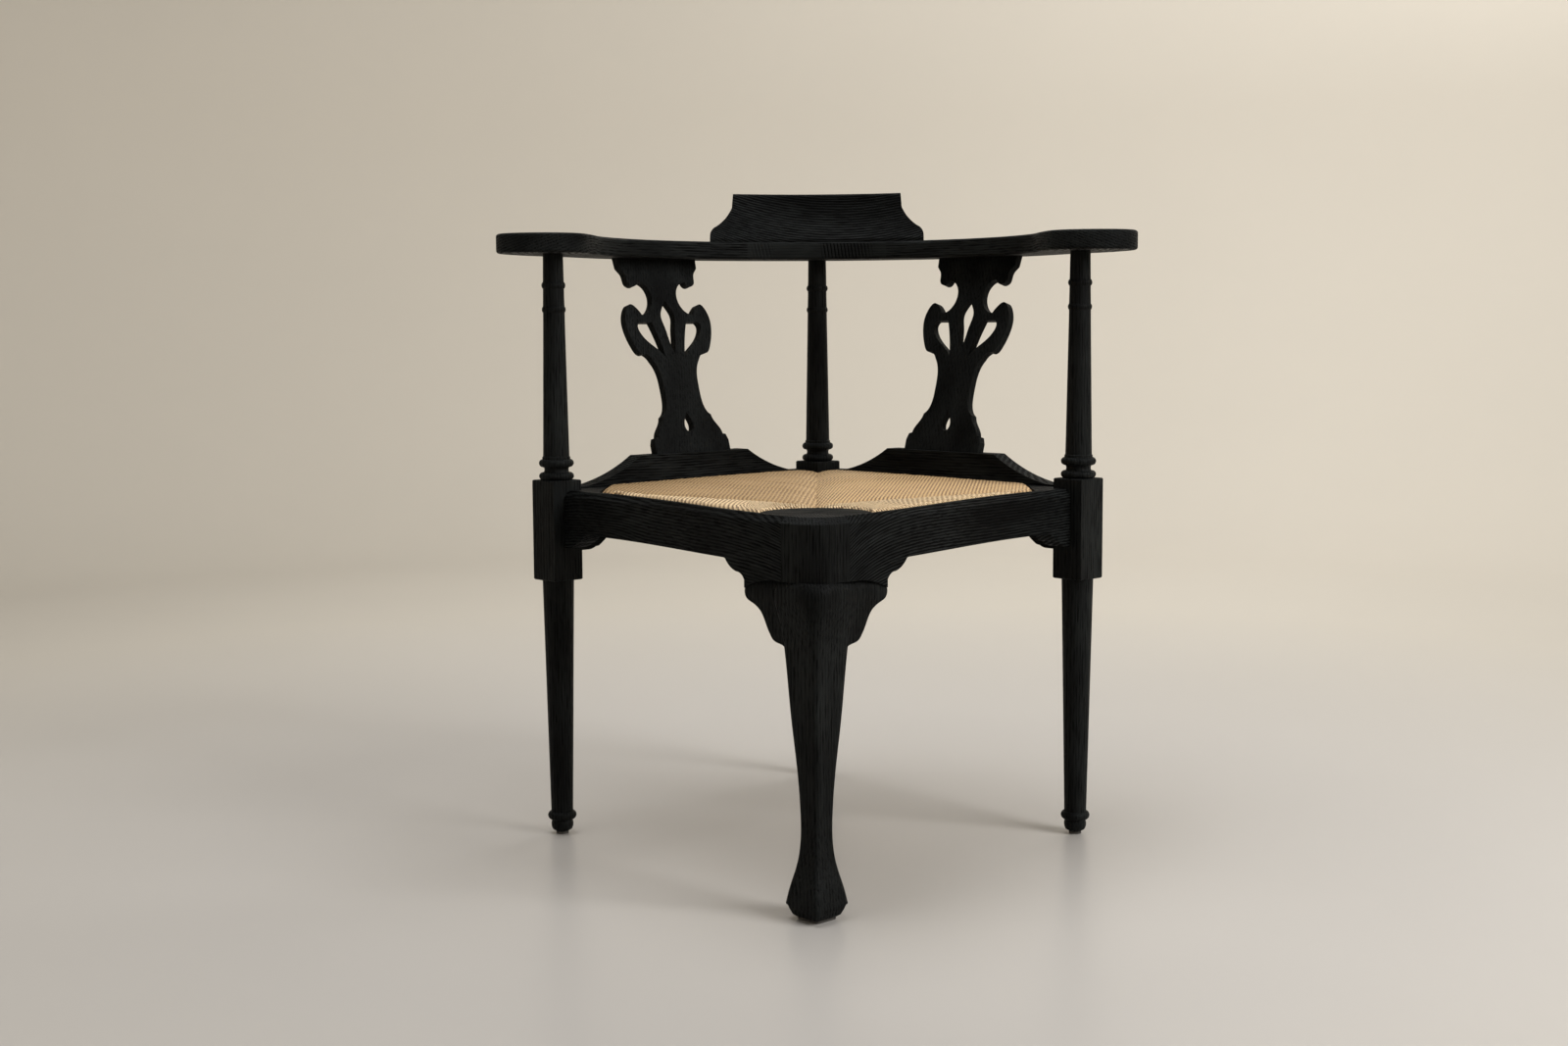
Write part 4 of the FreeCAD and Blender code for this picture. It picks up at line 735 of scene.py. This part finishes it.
def strawCord(name):
    # dry rush: two pale plies wind round each cord, with a groove between them where twist *
    # length - 2 * turn is whole, painted dark as shade
    pale, tan = straws[name]
    look = cordLook
    paint = Paint(name)
    run, turn, _ = paint.split(paint.make("ShaderNodeTexCoord").outputs["UV"])
    x, y, _ = paint.place()
    lengthwise, around, across = look["strandScale"]
    twist = (run * (rush["twist"] * 1000) - turn * 2).sum("FRACT")
    ply = ((twist - 0.5) * 2).sum("ABSOLUTE")
    where = paint.vector(run * lengthwise, turn * around, (x + y) * across)
    strands = paint.noise(where, 3.0)
    patch = paint.grain(look["patchScale"], 3.0)
    fleck = paint.grain(look["fleckScale"], 2.0)
    fromStrands, fromPatches, least = look["base"]
    paleness = (strands * fromStrands + (patch - 0.5) * fromPatches + least).clamp()
    anywhere, inPatches, whole = look["grooveShadeDepth"]
    grooveShade = 1 - ply.step(*look["grooveEdges"])
    grooveShade = grooveShade * (anywhere + patch.step(*look["patchEdges"]) * inPatches)
    # the grooves' darkening is painted shade; the flecks are the rush's own marks
    grooveShadeAndFlecks = (grooveShade * whole + fleck.step(*look["fleckEdges"]) * look["fleckDark"]).clamp()
    middle, spread = look["roughness"]
    plies, strandShare, strength, depth = look["bump"]
    return paint.finish(paint.mix(grooveShadeAndFlecks, paint.mix(paleness, tan, pale), look["grooveShade"]),
                        (middle + (strands - 0.5) * spread).clamp(0.4, 0.9),
                        paint.bump(ply * plies + strands * strandShare, strength, depth))


def rushPiece(mesh, material):
    mesh.materials.append(material)
    piece = bpy.data.objects.new(mesh.name, mesh)
    scene.collection.objects.link(piece)
    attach(piece, "root")
    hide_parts("rush_seat")
    print(piece.name, "made:", len(mesh.polygons), "faces")


def backCords():
    # cords of the right back panel: they start along the side edge and the back edge, run square
    # to the back edge, and end at the seam they meet first
    pitch, corner, tip = rush["cordWidth"], rush["backLine"], rush["tip"]
    rearTip = rush["rearTip"]
    edge = np.array([[tip, corner - tip], [rearTip, corner - rearTip]])
    starts, _ = evenly(edge, pitch)
    sideY = np.arange(corner - tip - pitch / math.sqrt(2),
                      rush["seamTip"][1] + rush["pastSeamTip"], -pitch * math.sqrt(2))
    sideStarts = np.stack([np.full_like(sideY, tip), sideY], 1)
    starts = np.concatenate([sideStarts[::-1], starts])
    inward = np.tile(np.array([-1, -1]) / math.sqrt(2), (len(starts), 1))
    toRear = starts[:, 0] * math.sqrt(2)
    toFront = meetSeam(starts, inward, rush["seamTip"], rush["seamFront"])
    lengths = np.minimum(toRear, np.where(toFront <= 0, np.inf, toFront))
    return edge, (starts, inward, lengths)


def frontCords():
    # cords of the right front strip: they start along the swept edge and the edge of the corner
    # block's hollow, run square to the sweep, and turn towards the fan's way near the block
    pitch, (hollowX, hollowY, r) = rush["cordWidth"], rush["hollow"]
    sweep = frontSweep(np.linspace(0, 1, rush["edgeSteps"]["sweep"]))
    away = np.linalg.norm(sweep - [hollowX, hollowY], axis=1)
    sweep = sweep[(sweep[:, 0] <= rush["tip"]) & (away >= r)]
    startAngle = math.atan2(sweep[-1, 1] - hollowY, sweep[-1, 0] - hollowX)
    arc = np.linspace(startAngle, math.pi / 2, rush["edgeSteps"]["hollow"])
    hollowEdge = np.stack([hollowX + r * np.cos(arc), hollowY + r * np.sin(arc)], 1)
    starts, ways = evenly(sweep, pitch)
    inward = np.stack([ways[:, 1], -ways[:, 0]], 1)
    toBlock = np.linalg.norm(starts - sweep[-1], axis=1)[:, None]
    fan = np.array(rush["fan"])
    inward += fan * rush["fanPull"] * np.exp(-(toBlock / rush["fanReach"]) ** 2)
    hollowStarts, _ = evenly(hollowEdge, pitch)
    hollowIn = (hollowStarts - [hollowX, hollowY]) * [fan[0] / r, 0] + [0, fan[1]]
    starts = np.concatenate([starts, hollowStarts])
    inward = unit(np.concatenate([inward, hollowIn]))
    lengths = meetSeam(starts, inward, rush["seamTip"], rush["seamFront"])
    return sweep, hollowEdge, (starts, inward, lengths)


def corePad(outline):
    # closed pad under the cords: rings of the seat's outline drawn in to one point, the top at
    # the weave's height less an inset and rolled down at the edge, the underside level
    inset, roll = rush["coreInset"], rush["edgeRoll"]
    centre, low = np.array(rush["coreMiddle"]), rush["bottom"] + inset
    arm = outline - centre
    arm = arm * (1 - inset * rush["coreDrawIn"] / np.linalg.norm(arm, axis=1))[:, None]
    reach = np.linalg.norm(arm, axis=1)
    turn = np.linspace(0, math.pi / 2, rush["coreRollSteps"])
    inward = np.concatenate([roll - roll * np.cos(turn), rush["coreSteps"]])
    share = np.concatenate([1 - inward[:, None] / reach,
                            np.outer(rush["coreShares"], np.ones(len(arm)))])
    drop = roll - np.sqrt(np.maximum(roll ** 2 - (roll - np.minimum(inward, roll)) ** 2, 0))
    drop = np.concatenate([drop, np.zeros(len(rush["coreShares"]))])
    top = centre + arm * share[:, :, None]
    top = np.concatenate([top, (weaveTop(top) - inset - drop[:, None])[:, :, None]], 2)
    foot = np.concatenate([centre + arm, np.full((len(arm), 1), low)], 1)
    rings = np.concatenate([foot[None], top])
    levels, count, _ = rings.shape
    index = np.arange(levels * count).reshape(levels, count)
    after = np.roll(index, -1, 1)
    quads = np.stack([index[:-1], after[:-1], after[1:], index[1:]], -1).reshape(-1, 4)
    peak = np.full(count, levels * count)
    caps = np.concatenate([np.stack([index[-1], after[-1], peak], 1),
                           np.stack([after[0], index[0], peak + 1], 1)])
    ends = np.array([[*centre, weaveTop(centre) - inset], [*centre, low]])
    points = np.concatenate([rings.reshape(-1, 3), ends])
    mesh = bpy.data.meshes.new("rush_core")
    mesh.from_pydata(toFrame(points), [], quads.tolist() + caps.tolist())
    mesh.uv_layers.new(name="cord")
    mesh.update()
    return mesh


def makeRushSeat():
    # two panels of cords on the right, the same mirrored on the left, and the core, whose
    # outline is the right half's edges followed by their mirror image
    backEdge, back = backCords()
    sweep, hollowEdge, front = frontCords()
    panels = (("back", back, strawCord("rush_cord_back")),
              # the front strips take a paler straw than the back panels: painted light, the same
              # rush lit more
              ("front", front, strawCord("rush_cord_front_painted_light")))
    for side, label in ((1, "right"), (-1, "left")):
        flip = np.array([side, 1])
        for part, (starts, inward, lengths), straw in panels:
            keep = (lengths > 0) & (lengths < rush["longest"])
            reach = np.maximum(lengths[keep] + rush["pastSeam"], rush["shortest"])
            seed = rush["seeds"][part] + side
            ring, runs = cordTubes(starts[keep] * flip, inward[keep] * flip, reach, seed)
            rushPiece(tubesToMesh("rush_" + part + "_" + label, ring, runs), straw)
    half = np.concatenate([[[0.0, backEdge[1, 1]]], backEdge[::-1], sweep, hollowEdge])
    outline = np.concatenate([half, half[-2:0:-1] * [-1, 1]])
    # the core is painted dark as the shade that shows between the cords
    rushPiece(corePad(outline[::-1]), strawCord("rush_core_painted_shade"))


makeRushSeat()
print("rush woven")
